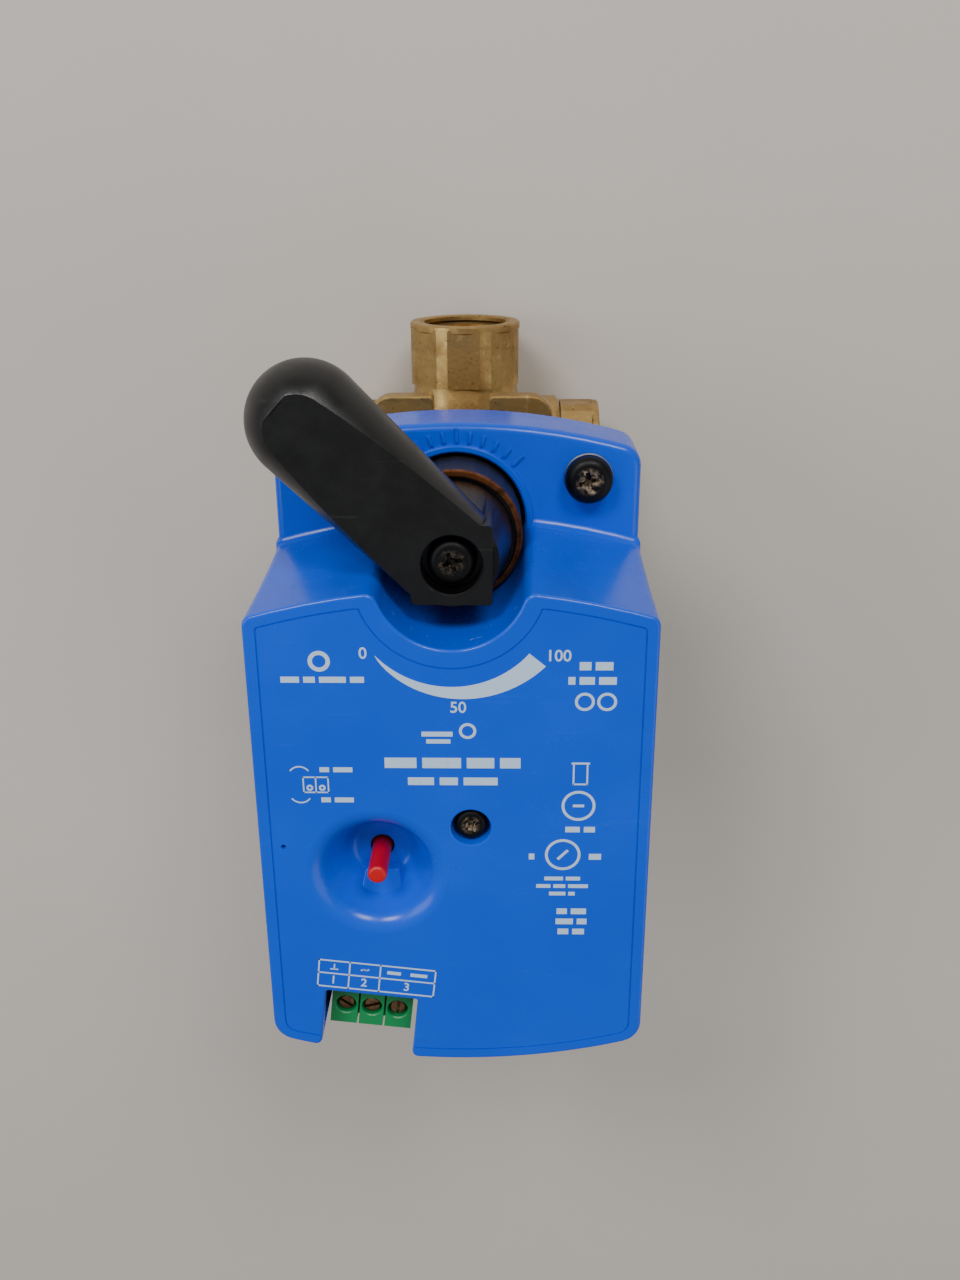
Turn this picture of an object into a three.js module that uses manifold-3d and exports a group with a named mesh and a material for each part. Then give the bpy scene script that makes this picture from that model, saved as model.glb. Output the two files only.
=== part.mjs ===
// A motorised rotary actuator head on the three-way brass ball valve that it turns.
// Millimetres. +Z runs up the valve stem and out of the cover's face, +Y points along the branch port.
// The origin is the centre of the valve's ball.
import * as THREE from "three";
import { mergeVertices } from "three/addons/utils/BufferGeometryUtils.js";
import Module from "manifold-3d";

const wasm = await Module();
wasm.setup();

// ---- Driving dimensions ----

// Heights above the pipe axis
const faceZ = 92; // cover's front face
const shelfZ = 57; // lower shelf that carries the position scale
const skirtZ = 43; // cover's open edge
const baseZ = 32; // underside of the base tray

// Cover, seen from the front
const halfWidth = 35.2;
const creaseY = -0.2;
const stepLean = 2.0; // how far the step wall leans back on its way up
const bottomY = -98.6;
const bowRadius = 120; // every top and bottom edge bows out at this radius
const cornerRadius = 4.5;
const wall = 2.0;

// Hub, lever and release button
const hubHoleRadius = 13.0; // straight well for the lever hub, from the face down through the shelf
const shelfTopY = Math.max(18.4, hubHoleRadius + 5.4); // the tray's wall clears the collar
const wellFlare = 1.4; // softened mouth of the well at the face
const lipWidth = 1.3; // raised lip round the hole on the shelf
const lipHeight = 0.8;
const collarRadius = hubHoleRadius - 0.7;
const leverTopZ = faceZ - 6;
const collarTopZ = leverTopZ - 18.5;
const leverAngle = 137.3; // degrees from +X, the "100" end of the travel
const gripReach = 33.6; // stem axis to the centre of the ball-shaped end
const gripRadius = 10.5;
const gripZ = leverTopZ - 9.6;
const leverRootRadius = collarRadius - 2.9;
const leverRootZ = leverTopZ - 3.7;
const leverFlatLength = 38.9;
const leverFlatDrop = 1.0;
const leverHubHalf = 7.0;
const buttonX = -14;
const buttonY = -56.8;
const buttonRadius = 1.8;
const buttonTopZ = faceZ + 0.8;
const dishRadius = 10.5;
const dishDepth = 10;
const dishFloorRadius = 6.8;

// Fasteners
const shelfScrewX = 24.8;
const shelfScrewY = 8.3;
const shelfHeadRadius = 4.5;
const shelfScrewRadius = 2.0;
const coverScrewX = 3.1;
const coverScrewY = -47.2;
const coverScrewWell = 3.5;
const coverScrewRadius = 1.5;

// Terminal block and its notch
const terminalPitch = 5.08;
const terminalPoles = 3;
const terminalX = -16.8;
const terminalY = -90.4;
const terminalTurn = -6.5; // degrees, follows the bowed lower edge
const terminalTopZ = faceZ - 5;
const terminalDepth = 8.5;
const notchWidth = terminalPoles * terminalPitch + 2.36;
const notchInner = 6.6; // notch edge above the block's centre line
const notchFloorZ = faceZ - 26;

// Gear train: a tooth count and a module for each mesh
const sectorTeeth = 48;
const sectorModule = 1.0;
const secondPinionTeeth = 12;
const secondWheelTeeth = 30;
const secondModule = 0.8;
const firstPinionTeeth = 12;
const firstWheelTeeth = 30;
const firstModule = 0.8;
const motorPinionTeeth = 8;
const secondAngle = -90; // direction from the stem to the second arbor
const firstAngle = -15; // from the second arbor to the first
const motorAngle = -80; // from the first arbor to the motor
const arborRadius = 1.5;
const motorRadius = 11.5;
const motorHeight = 11.2;

// Valve
const portRadius = 12.4;
const portFlats = 24.2; // across the flats of the eight-sided port ends
const portReach = 30.5; // ball centre to each port face
const threadBore = 9.3;
const threadDepth = 13;
const flowBore = 5.6;
const ballRadius = 9.8;
const stemRadius = 5.0;
const stemSquare = 9.0;
const padHalf = 19;
const padThickness = 5;
const padNotchHalf = 5.7;
const padNotchDepth = 4;

const clearance = 0.3; // between pieces that touch
const running = 0.35; // around shafts that turn
const padTopZ = baseZ - clearance; // the tray stands on the pad
const rad = THREE.MathUtils.degToRad;

// Facets to a full turn
const fine = 20;
const medium = 12;
const coarse = 8;
const wellFacets = 28;

// ---- Solids ----

// A closed three.js geometry as a manifold solid with its faces pointing out.
function solid(geometry) {
  const bare = geometry.clone();
  bare.deleteAttribute("normal");
  bare.deleteAttribute("uv");
  const merged = mergeVertices(bare, 1e-4);
  const vertProperties = new Float32Array(merged.attributes.position.array);
  const triVerts = new Uint32Array(merged.index.array);
  const made = new wasm.Manifold(new wasm.Mesh({ numProp: 3, vertProperties, triVerts }));
  if (made.volume() > 0) return made;
  triVerts.reverse();
  return new wasm.Manifold(new wasm.Mesh({ numProp: 3, vertProperties, triVerts }));
}

function join(first, ...others) {
  return others.reduce((sum, other) => sum.add(other), first);
}

function cut(first, ...tools) {
  return tools.reduce((rest, tool) => rest.subtract(tool), first);
}

function prism(shape, lowZ, highZ, segments = 6) {
  const options = { depth: highZ - lowZ, bevelEnabled: false, curveSegments: segments };
  return solid(new THREE.ExtrudeGeometry(shape, options).translate(0, 0, lowZ));
}

function block(lowX, highX, lowY, highY, lowZ, highZ) {
  const size = new THREE.Vector3(highX - lowX, highY - lowY, highZ - lowZ);
  const geometry = new THREE.BoxGeometry(size.x, size.y, size.z);
  return solid(geometry.translate((lowX + highX) / 2, (lowY + highY) / 2, (lowZ + highZ) / 2));
}

// A cylinder or cone on a vertical axis.
function round(x, y, lowRadius, lowZ, highZ, highRadius = lowRadius, segments = fine) {
  const geometry = new THREE.CylinderGeometry(highRadius, lowRadius, highZ - lowZ, segments);
  return solid(geometry.rotateX(Math.PI / 2).translate(x, y, (lowZ + highZ) / 2));
}

// A cylinder whose axis runs along X or Y, from near to far.
function pipe(axis, radius, near, far, segments = fine) {
  const geometry = new THREE.CylinderGeometry(radius, radius, far - near, segments);
  geometry.rotateY(Math.PI / segments).translate(0, (near + far) / 2, 0);
  if (axis === "x") geometry.rotateZ(-Math.PI / 2);
  return solid(geometry);
}

// A turned piece on a vertical axis, from [radius, z] pairs that close on the axis or on themselves.
function turned(x, y, profile, segments = fine) {
  const points = profile.map(([radius, z]) => new THREE.Vector2(radius, z));
  return solid(new THREE.LatheGeometry(points, segments).rotateX(Math.PI / 2).translate(x, y, 0));
}

function ring(x, y, inner, outer, lowZ, highZ, segments = fine) {
  const profile = [[inner, lowZ], [outer, lowZ], [outer, highZ], [inner, highZ], [inner, lowZ]];
  return turned(x, y, profile, segments);
}

function moved(made, matrix) {
  return made.transform([...matrix.elements]);
}

function turnAt(x, y, degrees) {
  const matrix = new THREE.Matrix4().makeRotationZ(rad(degrees));
  return matrix.setPosition(x, y, 0);
}

// ---- Outlines ----

const bow = (x, apexY, radius = bowRadius) => apexY - (x * x) / (2 * radius);
const bowUp = (x) => bottomY + (x * x) / (2 * bowRadius);

// The cover's outline between a top edge and the bowed bottom edge, drawn in by an inset.
function plan(topApexY, inset) {
  const side = halfWidth - inset;
  const corner = Math.max(cornerRadius - inset, 1);
  const top = (x) => bow(x, topApexY - inset);
  const bottom = (x) => bowUp(x) + inset;
  const steps = 8;
  const reach = side - corner;
  const shape = new THREE.Shape();
  shape.moveTo(-side, bottom(side) + corner);
  shape.quadraticCurveTo(-side, bottom(side), -reach, bottom(reach));
  for (let i = 1; i <= steps; i++) {
    const x = -reach + (2 * reach * i) / steps;
    shape.lineTo(x, bottom(x));
  }
  shape.quadraticCurveTo(side, bottom(side), side, bottom(side) + corner);
  shape.lineTo(side, top(side) - corner);
  shape.quadraticCurveTo(side, top(side), reach, top(reach));
  for (let i = 1; i <= steps; i++) {
    const x = reach - (2 * reach * i) / steps;
    shape.lineTo(x, top(x));
  }
  shape.quadraticCurveTo(-side, top(side), -side, top(side) - corner);
  return shape;
}

// Everything above the leaning, bowed step wall; shift moves the wall towards -Y.
function stepCutter(shift) {
  const reach = halfWidth + 5;
  const steps = 10;
  const shape = new THREE.Shape();
  shape.moveTo(reach, 60);
  shape.lineTo(-reach, 60);
  for (let i = 0; i <= steps; i++) {
    const x = -reach + (2 * reach * i) / steps;
    shape.lineTo(x, bow(x, creaseY - shift));
  }
  const lean = Math.atan(stepLean / (faceZ - shelfZ));
  const options = { depth: faceZ - shelfZ + 20, bevelEnabled: false };
  const geometry = new THREE.ExtrudeGeometry(shape, options).translate(0, 0, -10);
  return solid(geometry.rotateX(lean).translate(0, 0, shelfZ));
}

function roundedSquare(half, corner) {
  const shape = new THREE.Shape();
  const inner = half - corner;
  shape.absarc(inner, inner, corner, 0, Math.PI / 2);
  shape.absarc(-inner, inner, corner, Math.PI / 2, Math.PI);
  shape.absarc(-inner, -inner, corner, Math.PI, 1.5 * Math.PI);
  shape.absarc(inner, -inner, corner, 1.5 * Math.PI, 2 * Math.PI);
  return shape;
}

// A spur gear outline of straight-flanked teeth, with one tooth centred on the angle phase.
function gearShape(teeth, module, phase, firstTooth = 0, toothCount = teeth) {
  const pitch = (2 * Math.PI) / teeth;
  const pitchRadius = (teeth * module) / 2;
  const tip = pitchRadius + 0.8 * module;
  const root = pitchRadius - 1.15 * module;
  const shape = new THREE.Shape();
  const at = (radius, angle) => [radius * Math.cos(angle), radius * Math.sin(angle)];
  for (let i = firstTooth; i < firstTooth + toothCount; i++) {
    const middle = phase + i * pitch;
    const start = at(root, middle - 0.3 * pitch);
    if (i === firstTooth) shape.moveTo(...start);
    else shape.lineTo(...start);
    shape.lineTo(...at(tip, middle - 0.1 * pitch));
    shape.lineTo(...at(tip, middle + 0.1 * pitch));
    shape.lineTo(...at(root, middle + 0.3 * pitch));
  }
  if (toothCount < teeth) shape.lineTo(0, 0);
  return shape;
}

function gear(x, y, teeth, module, phase, lowZ, highZ) {
  const geometry = prism(gearShape(teeth, module, phase), lowZ, highZ);
  return moved(geometry, turnAt(x, y, 0));
}

// The phase that puts a gap of the follower opposite a tooth of the driver along a line of centres.
const meshPhase = (direction, teeth) => rad(direction) + Math.PI - Math.PI / teeth;

// ---- Assembly ----

const assembly = new THREE.Group();

const finishes = {
  azure: { color: 0x0463dc, roughness: 0.32, metalness: 0 },
  charcoal: { color: 0x26282b, roughness: 0.6, metalness: 0 },
  black: { color: 0x141517, roughness: 0.45, metalness: 0 },
  blackSteel: { color: 0x1d1e20, roughness: 0.5, metalness: 0.8 },
  steel: { color: 0xa9abad, roughness: 0.35, metalness: 1 },
  brass: { color: 0xa8874f, roughness: 0.4, metalness: 1 },
  bronze: { color: 0x9a6a45, roughness: 0.4, metalness: 1 },
  chrome: { color: 0xc8cacc, roughness: 0.12, metalness: 1 },
  red: { color: 0xc8141e, roughness: 0.4, metalness: 0 },
  green: { color: 0x1f8a4c, roughness: 0.45, metalness: 0 },
  boardGreen: { color: 0x1c5a36, roughness: 0.5, metalness: 0 },
  nylon: { color: 0xe6e2d6, roughness: 0.5, metalness: 0 },
  seal: { color: 0x2a2a2a, roughness: 0.8, metalness: 0 },
  ptfe: { color: 0xf2f2ee, roughness: 0.45, metalness: 0 },
};

function part(name, made, finish) {
  const mesh = made.getMesh();
  const count = mesh.numProp;
  const positions = new Float32Array((mesh.vertProperties.length / count) * 3);
  for (let i = 0; i * count < mesh.vertProperties.length; i++) {
    positions.set(mesh.vertProperties.subarray(i * count, i * count + 3), i * 3);
  }
  const geometry = new THREE.BufferGeometry();
  geometry.setAttribute("position", new THREE.BufferAttribute(positions, 3));
  geometry.setIndex(new THREE.BufferAttribute(new Uint32Array(mesh.triVerts), 1));
  geometry.computeVertexNormals();
  const piece = new THREE.Mesh(geometry, new THREE.MeshStandardMaterial(finishes[finish]));
  piece.name = name;
  assembly.add(piece);
}

// ---- Cover ----

const dishFloorZ = faceZ - dishDepth;
const trayFloorZ = baseZ + wall;
const shelfBoss = shelfScrewRadius + 1.6;
const coverHeadZ = faceZ - 3.6; // seat of the sunk cover screw
const terminalFrame = turnAt(terminalX, terminalY, terminalTurn);

function dish(grow) {
  const floor = dishFloorZ - grow;
  return round(buttonX, buttonY, dishFloorRadius + grow, floor, faceZ + 1, dishRadius + grow);
}

function terminalNotch() {
  const half = notchWidth / 2;
  return moved(block(-half, half, -20, notchInner, notchFloorZ, faceZ + 1), terminalFrame);
}

function coverShell() {
  const shelfBlock = prism(plan(shelfTopY, 0), skirtZ, shelfZ);
  const faceBlock = prism(plan(shelfTopY, 0), skirtZ, faceZ).subtract(stepCutter(0));
  const lipRadius = hubHoleRadius + lipWidth;
  const lip = round(0, 0, lipRadius, shelfZ - 0.5, shelfZ + lipHeight, lipRadius, wellFacets);
  const flareRadius = hubHoleRadius + wellFlare;
  const flare = round(0, 0, hubHoleRadius, faceZ - wellFlare, faceZ + 0.01, flareRadius, wellFacets);
  const outer = join(shelfBlock, faceBlock, lip).subtract(flare);

  const shelfRoom = prism(plan(shelfTopY, wall), skirtZ - 1, shelfZ - wall);
  const faceRoom = prism(plan(shelfTopY, wall), skirtZ - 1, faceZ - wall).subtract(stepCutter(wall));
  const wellOuter = hubHoleRadius + wall;
  const keepWell = round(0, 0, wellOuter, shelfZ - wall, faceZ, wellOuter, wellFacets);
  const keepScrew = round(coverScrewX, coverScrewY, coverScrewWell + wall, coverHeadZ - wall, faceZ);
  const room = cut(join(shelfRoom, faceRoom), keepWell, dish(wall), keepScrew);

  const hubHole = round(0, 0, hubHoleRadius, skirtZ, faceZ + 1, hubHoleRadius, wellFacets);
  const buttonHole = round(buttonX, buttonY, buttonRadius + 0.4, shelfZ, faceZ);
  const sunk = round(coverScrewX, coverScrewY, coverScrewWell, coverHeadZ, faceZ + 1);
  const coverHole = round(coverScrewX, coverScrewY, coverScrewRadius + clearance, shelfZ, faceZ);
  let shell = cut(outer, room, hubHole, dish(0), buttonHole, sunk, coverHole, terminalNotch());
  for (const side of [-1, 1]) {
    const hole = round(side * shelfScrewX, shelfScrewY, shelfScrewRadius + clearance, skirtZ, faceZ);
    shell = shell.subtract(hole);
  }
  return shell;
}

// Raised scale marks around the hub, every nine degrees over the quarter turn.
const longMarkReach = 17.6;
const shortMarkReach = 16.9;
const markHalf = 0.3;
const markInner = hubHoleRadius + lipWidth + 0.6;
const markLowZ = shelfZ - 0.5;
const markTopZ = shelfZ + 0.5;
function scaleMarks() {
  const marks = [];
  for (let i = 0; i <= 10; i++) {
    const reach = i % 5 === 0 ? longMarkReach : shortMarkReach;
    const mark = block(markInner, reach, -markHalf, markHalf, markLowZ, markTopZ);
    marks.push(moved(mark, turnAt(0, 0, 45 + i * 9)));
  }
  return marks;
}

part("cover", join(coverShell(), ...scaleMarks()), "azure");

// ---- Base tray ----

const trayInset = wall + clearance;
const trayTopZ = 49;
const trayBoreRadius = 12.3;
const boardZ = terminalTopZ - 18;
const boardPosts = [[25, -68], [-25, -68], [25, -87]];
const platePosts = [[-6, -54], [27, -21], [-20.5, -22]];
const plateZ = 58;
const postFootRadius = 2.6;
const postTopRadius = 2.2;
const postFootZ = baseZ + 0.5; // posts and bosses sink into the tray's floor
const lugDrop = 4.5; // how far the tray's two locating lugs reach down into the pad's notches

function baseTray() {
  const outer = prism(plan(shelfTopY, trayInset), baseZ, trayTopZ);
  const room = prism(plan(shelfTopY, trayInset + wall), trayFloorZ, trayTopZ + 1);
  let tray = outer.subtract(room);
  for (const [x, y] of boardPosts) {
    tray = tray.add(round(x, y, postFootRadius, postFootZ, boardZ - clearance, postTopRadius, coarse));
  }
  for (const [x, y] of platePosts) {
    tray = tray.add(round(x, y, postFootRadius, postFootZ, plateZ - clearance, postTopRadius, coarse));
  }
  const coverPost = round(coverScrewX, coverScrewY, 3.4, postFootZ, plateZ - 2, 3.0, coarse);
  tray = tray.add(coverPost);
  const screwBore = coverScrewRadius + clearance;
  tray = tray.subtract(round(coverScrewX, coverScrewY, screwBore, 40, 70, screwBore, coarse));
  for (const side of [-1, 1]) {
    const x = side * shelfScrewX;
    const bore = shelfScrewRadius + clearance;
    const bossTopZ = shelfZ - wall - clearance;
    tray = tray.add(round(x, shelfScrewY, shelfBoss, postFootZ, bossTopZ, shelfBoss, medium));
    tray = tray.subtract(round(x, shelfScrewY, bore, baseZ - 1, shelfZ, bore, coarse));
  }
  const lugHalf = padNotchHalf - clearance;
  const lugInner = padHalf - padNotchDepth + clearance;
  for (const side of [-1, 1]) {
    const near = Math.min(side * lugInner, side * padHalf);
    const far = Math.max(side * lugInner, side * padHalf);
    tray = tray.add(block(near, far, -lugHalf, lugHalf, baseZ - lugDrop, postFootZ));
  }
  return tray.subtract(round(0, 0, trayBoreRadius, baseZ - 1, trayFloorZ + 1, trayBoreRadius, 32));
}

part("base_tray", baseTray(), "charcoal");

// A cord seal between the tray's rim and the underside of the shelf level.
const sealZ = trayTopZ + clearance;
const sealRelief = shelfBoss + clearance;
const sealBand = cut(
  prism(plan(shelfTopY, trayInset), sealZ, sealZ + 1.6),
  prism(plan(shelfTopY, trayInset + wall), sealZ - 1, sealZ + 3),
  round(shelfScrewX, shelfScrewY, sealRelief, skirtZ, shelfZ),
  round(-shelfScrewX, shelfScrewY, sealRelief, skirtZ, shelfZ),
);
part("cover_seal", sealBand, "seal");

// ---- Cover fasteners ----

// A pan-headed screw with a cross recess, standing on seatZ with its tip at tipZ.
function panScrew(x, y, seatZ, headRadius, headHeight, shankRadius, tipZ) {
  const domeZ = seatZ + headHeight;
  const profile = [
    [0, tipZ],
    [shankRadius, tipZ + shankRadius * 0.8],
    [shankRadius, seatZ],
    [headRadius, seatZ],
    [headRadius, seatZ + headHeight * 0.45],
    [headRadius * 0.7, domeZ],
    [0, domeZ],
  ];
  const arm = headRadius * 0.5;
  const slot = headRadius * 0.11;
  const low = domeZ - headHeight * 0.5;
  const cross = join(
    block(x - arm, x + arm, y - slot, y + slot, low, domeZ + 1),
    block(x - slot, x + slot, y - arm, y + arm, low, domeZ + 1),
  );
  return turned(x, y, profile, 12).subtract(cross);
}

const washerThickness = 0.8;
for (const [side, name] of [[-1, "left"], [1, "right"]]) {
  const x = side * shelfScrewX;
  const washerZ = shelfZ + clearance;
  const seatZ = washerZ + washerThickness + clearance;
  const holeRadius = shelfScrewRadius + clearance;
  const washer = ring(x, shelfScrewY, holeRadius, shelfHeadRadius + 0.15, washerZ,
    washerZ + washerThickness);
  part(`shelf_washer_${name}`, washer, "steel");
  const screw = panScrew(x, shelfScrewY, seatZ, shelfHeadRadius, 3.0, shelfScrewRadius, baseZ + 1);
  part(`shelf_screw_${name}`, screw, "blackSteel");
}

const coverSeat = coverHeadZ + clearance;
const coverScrew = panScrew(coverScrewX, coverScrewY, coverSeat, 3.1, 2.4, coverScrewRadius, 44);
part("cover_screw", coverScrew, "blackSteel");

// ---- Release button and its spring ----

const flangeTopZ = dishFloorZ - wall - clearance;
const flangeZ = flangeTopZ - 2.5;
const springFootZ = plateZ + 1.5 + clearance;
const springRadius = 3.0;
const springWire = 0.45;

const buttonTip = buttonRadius * 0.55;
const buttonProfile = [
  [0, 56],
  [1.3, 56],
  [1.3, flangeZ],
  [4.0, flangeZ],
  [4.0, flangeTopZ],
  [buttonRadius, flangeTopZ],
  [buttonRadius, buttonTopZ - 0.8],
  [buttonTip, buttonTopZ],
  [0, buttonTopZ],
];
part("release_button", turned(buttonX, buttonY, buttonProfile, medium), "red");

function releaseSpring() {
  const turns = 4;
  const low = springFootZ + springWire;
  const high = flangeZ - clearance - springWire;
  const points = [];
  for (let i = 0; i <= turns * 8; i++) {
    const angle = (i / 8) * 2 * Math.PI;
    const height = low + ((high - low) * i) / (turns * 8);
    points.push(new THREE.Vector3(springRadius * Math.cos(angle), springRadius * Math.sin(angle), height));
  }
  const path = new THREE.CatmullRomCurve3(points);
  const section = new THREE.Shape().absarc(0, 0, springWire, 0, 2 * Math.PI);
  const options = { steps: turns * 8, extrudePath: path, curveSegments: 3 };
  return solid(new THREE.ExtrudeGeometry(section, options).translate(buttonX, buttonY, 0));
}
part("release_spring", releaseSpring(), "steel");

// ---- Terminal block and circuit board ----

const terminalHalf = (terminalPitch * terminalPoles) / 2 + 0.3;
const terminalFootZ = boardZ + 1.6 + clearance;
const poles = [...Array(terminalPoles).keys()].map((i) => (i - (terminalPoles - 1) / 2) * terminalPitch);
const terminalScrewRadius = 1.65;

function terminalBlock() {
  const half = terminalDepth / 2;
  let body = block(-terminalHalf, terminalHalf, -half, half, terminalFootZ, terminalTopZ);
  for (const x of poles) {
    body = body.subtract(round(x, 0, terminalScrewRadius + clearance, terminalTopZ - 4, terminalTopZ + 1));
    const entry = terminalPitch / 2 - 0.7;
    body = body.subtract(block(x - entry, x + entry, -half - 1, 0, terminalTopZ - 12, terminalTopZ - 7));
  }
  return moved(body, terminalFrame);
}
part("terminal_block", terminalBlock(), "green");

poles.forEach((x, i) => {
  const low = terminalTopZ - 4 + clearance;
  const high = terminalTopZ - 0.6;
  const head = round(x, 0, terminalScrewRadius, low, high, terminalScrewRadius, 16);
  const groove = block(-2, 2, -0.3, 0.3, high - 1, high + 1);
  const turn = new THREE.Matrix4().makeRotationZ(rad([-30, 20, 90][i]));
  const slot = moved(groove, turn.setPosition(x, 0, 0));
  part(`terminal_screw_${i + 1}`, moved(head.subtract(slot), terminalFrame), "bronze");
});

const boardThickness = 1.6;
const boardHalfWidth = 28.5;
const boardLowY = -93;
const boardHighY = -63;
const boardHoleRadius = 1.6;
const boardTopZ = boardZ + boardThickness;
const board = cut(
  block(-boardHalfWidth, boardHalfWidth, boardLowY, boardHighY, boardZ, boardTopZ),
  ...boardPosts.map(([x, y]) => {
    return round(x, y, boardHoleRadius, boardZ - 1, boardTopZ + 1, boardHoleRadius, coarse);
  }),
);
part("circuit_board", board, "boardGreen");
boardPosts.forEach(([x, y], i) => {
  const seat = boardTopZ + clearance;
  part(`board_screw_${i + 1}`, panScrew(x, y, seat, 2.6, 1.8, 1.2, boardZ + 0.2), "steel");
});

const onBoard = boardTopZ + clearance;
part("smoothing_capacitor", turned(12, -72, [
  [0, onBoard],
  [5, onBoard],
  [5, onBoard + 11],
  [4.5, onBoard + 11.5],
  [0, onBoard + 11.5],
]), "blackSteel");
part("control_chip", block(-4, 4, -83, -73, onBoard, onBoard + 2.2), "black");
part("mode_jumper", block(-26, -20.5, -80, -74.8, onBoard, onBoard + 7), "black");
part("supply_choke", block(8, 22, -90, -80, onBoard, onBoard + 9), "charcoal");

// ---- Gear train ----

const distance = (teethA, teethB, module) => ((teethA + teethB) * module) / 2;
function step(from, degrees, length) {
  return [from[0] + length * Math.cos(rad(degrees)), from[1] + length * Math.sin(rad(degrees))];
}
const secondArbor = step([0, 0], secondAngle, distance(sectorTeeth, secondPinionTeeth, sectorModule));
const firstArbor = step(
  secondArbor,
  firstAngle,
  distance(secondWheelTeeth, firstPinionTeeth, secondModule),
);
const motorAxis = step(firstArbor, motorAngle, distance(firstWheelTeeth, motorPinionTeeth, firstModule));

const sectorZ = [40, 45];
const secondWheelZ = [46.8, 49.6];
const firstWheelZ = [52.6, 54.8];
const sleeveRadius = 9.6;
const sectorBore = sleeveRadius + clearance;

// The output sector has teeth only where the quarter turn needs them.
function outputSector() {
  const pitch = 360 / sectorTeeth;
  const firstTooth = -1;
  const teethUsed = Math.ceil(90 / pitch) + 3;
  const shape = gearShape(sectorTeeth, sectorModule, rad(secondAngle), firstTooth, teethUsed);
  const toothed = prism(shape, sectorZ[0], sectorZ[1]);
  const hub = round(0, 0, sectorBore + 3.2, sectorZ[0], sectorZ[1], sectorBore + 3.2, 32);
  return join(toothed, hub).subtract(round(0, 0, sectorBore, 30, 60, sectorBore, 32));
}
part("output_sector", outputSector(), "steel");

const secondPhase = meshPhase(secondAngle, secondPinionTeeth);
const secondWheelPhase = rad(firstAngle);
const arborHole = arborRadius + running;
const secondGear = cut(
  join(
    gear(...secondArbor, secondPinionTeeth, sectorModule, secondPhase, sectorZ[0] - 0.5, secondWheelZ[0]),
    gear(...secondArbor, secondWheelTeeth, secondModule, secondWheelPhase, ...secondWheelZ),
  ),
  round(...secondArbor, arborHole, 30, 60, arborHole, 16),
);
part("second_gear", secondGear, "steel");

const firstPhase = meshPhase(firstAngle, firstPinionTeeth);
const firstWheelPhase = rad(motorAngle);
const firstGear = cut(
  join(
    gear(...firstArbor, firstPinionTeeth, secondModule, firstPhase, secondWheelZ[0] - 0.3, firstWheelZ[0]),
    gear(...firstArbor, firstWheelTeeth, firstModule, firstWheelPhase, ...firstWheelZ),
  ),
  round(...firstArbor, arborHole, 30, 60, arborHole, 16),
);
part("first_gear", firstGear, "nylon");

const motorPhase = meshPhase(motorAngle, motorPinionTeeth);
const motorShaftRadius = 1.0;
const motorTopZ = trayFloorZ + clearance + motorHeight;
const motorPinion = cut(
  gear(...motorAxis, motorPinionTeeth, firstModule, motorPhase, firstWheelZ[0] - 1, firstWheelZ[1] + 0.5),
  round(...motorAxis, motorShaftRadius + clearance, 30, 60, motorShaftRadius + clearance, 12),
);
part("motor_pinion", motorPinion, "brass");
part("motor_shaft", round(
  ...motorAxis, motorShaftRadius, motorTopZ + clearance, firstWheelZ[1] + 0.8, motorShaftRadius, 12,
), "steel");
part("drive_motor", turned(...motorAxis, [
  [0, trayFloorZ + clearance],
  [motorRadius - 0.8, trayFloorZ + clearance],
  [motorRadius, trayFloorZ + clearance + 0.8],
  [motorRadius, motorTopZ - 1.8],
  [motorRadius - 0.8, motorTopZ - 1],
  [3, motorTopZ - 1],
  [3, motorTopZ],
  [0, motorTopZ],
], 24), "steel");

const arbor = (x, y) => round(x, y, arborRadius, trayFloorZ + clearance, plateZ + 1, arborRadius, 16);
part("second_arbor", arbor(...secondArbor), "steel");
part("first_arbor", arbor(...firstArbor), "steel");

const plateThickness = 1.5;
function bearingPlate() {
  let plate = block(-23.5, 30, -60.5, -18, plateZ, plateZ + plateThickness);
  const holes = [
    [...secondArbor, arborRadius + clearance],
    [...firstArbor, arborRadius + clearance],
    [coverScrewX, coverScrewY, coverScrewRadius + 0.8],
    [buttonX, buttonY, 1.3 + running],
    ...platePosts.map(([x, y]) => [x, y, 1.5]),
  ];
  for (const [x, y, radius] of holes) {
    plate = plate.subtract(round(x, y, radius, plateZ - 1, plateZ + 3, radius, coarse));
  }
  return plate;
}
part("bearing_plate", bearingPlate(), "steel");
platePosts.forEach(([x, y], i) => {
  const seat = plateZ + plateThickness + clearance;
  part(`plate_screw_${i + 1}`, panScrew(x, y, seat, 2.6, 1.8, 1.2, plateZ + 0.2), "steel");
});

// ---- Output sleeve, lever and their fastener ----

const socketHalf = stemSquare / 2 + clearance;
const tenonHalf = 4.6;
const tenonZ = collarTopZ - 7.5;
const ringThickness = 1.0;
const ringTopZ = collarTopZ + clearance + ringThickness;

function outputSleeve() {
  const body = turned(0, 0, [
    [0, trayFloorZ + clearance],
    [9, trayFloorZ + clearance],
    [9, sectorZ[0] - 1],
    [sleeveRadius, sectorZ[0] - 1],
    [sleeveRadius, sectorZ[1] + clearance],
    [collarRadius, sectorZ[1] + clearance],
    [collarRadius, collarTopZ],
    [0, collarTopZ],
  ], 24);
  const stemSocket = block(-socketHalf, socketHalf, -socketHalf, socketHalf, 30, tenonZ);
  const leverSocket = block(-5, 5, -5, 5, tenonZ - clearance, collarTopZ + 1);
  return cut(body, stemSocket, leverSocket);
}
part("output_sleeve", outputSleeve(), "black");
part("sleeve_ring", ring(0, 0, collarRadius - 1.1, collarRadius + 0.1, ringTopZ - ringThickness, ringTopZ, 24), "bronze");
part("sleeve_bearing", ring(0, 0, 9 + running, 12, trayFloorZ - 1.6, sectorZ[0] - 1.4), "bronze");

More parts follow.
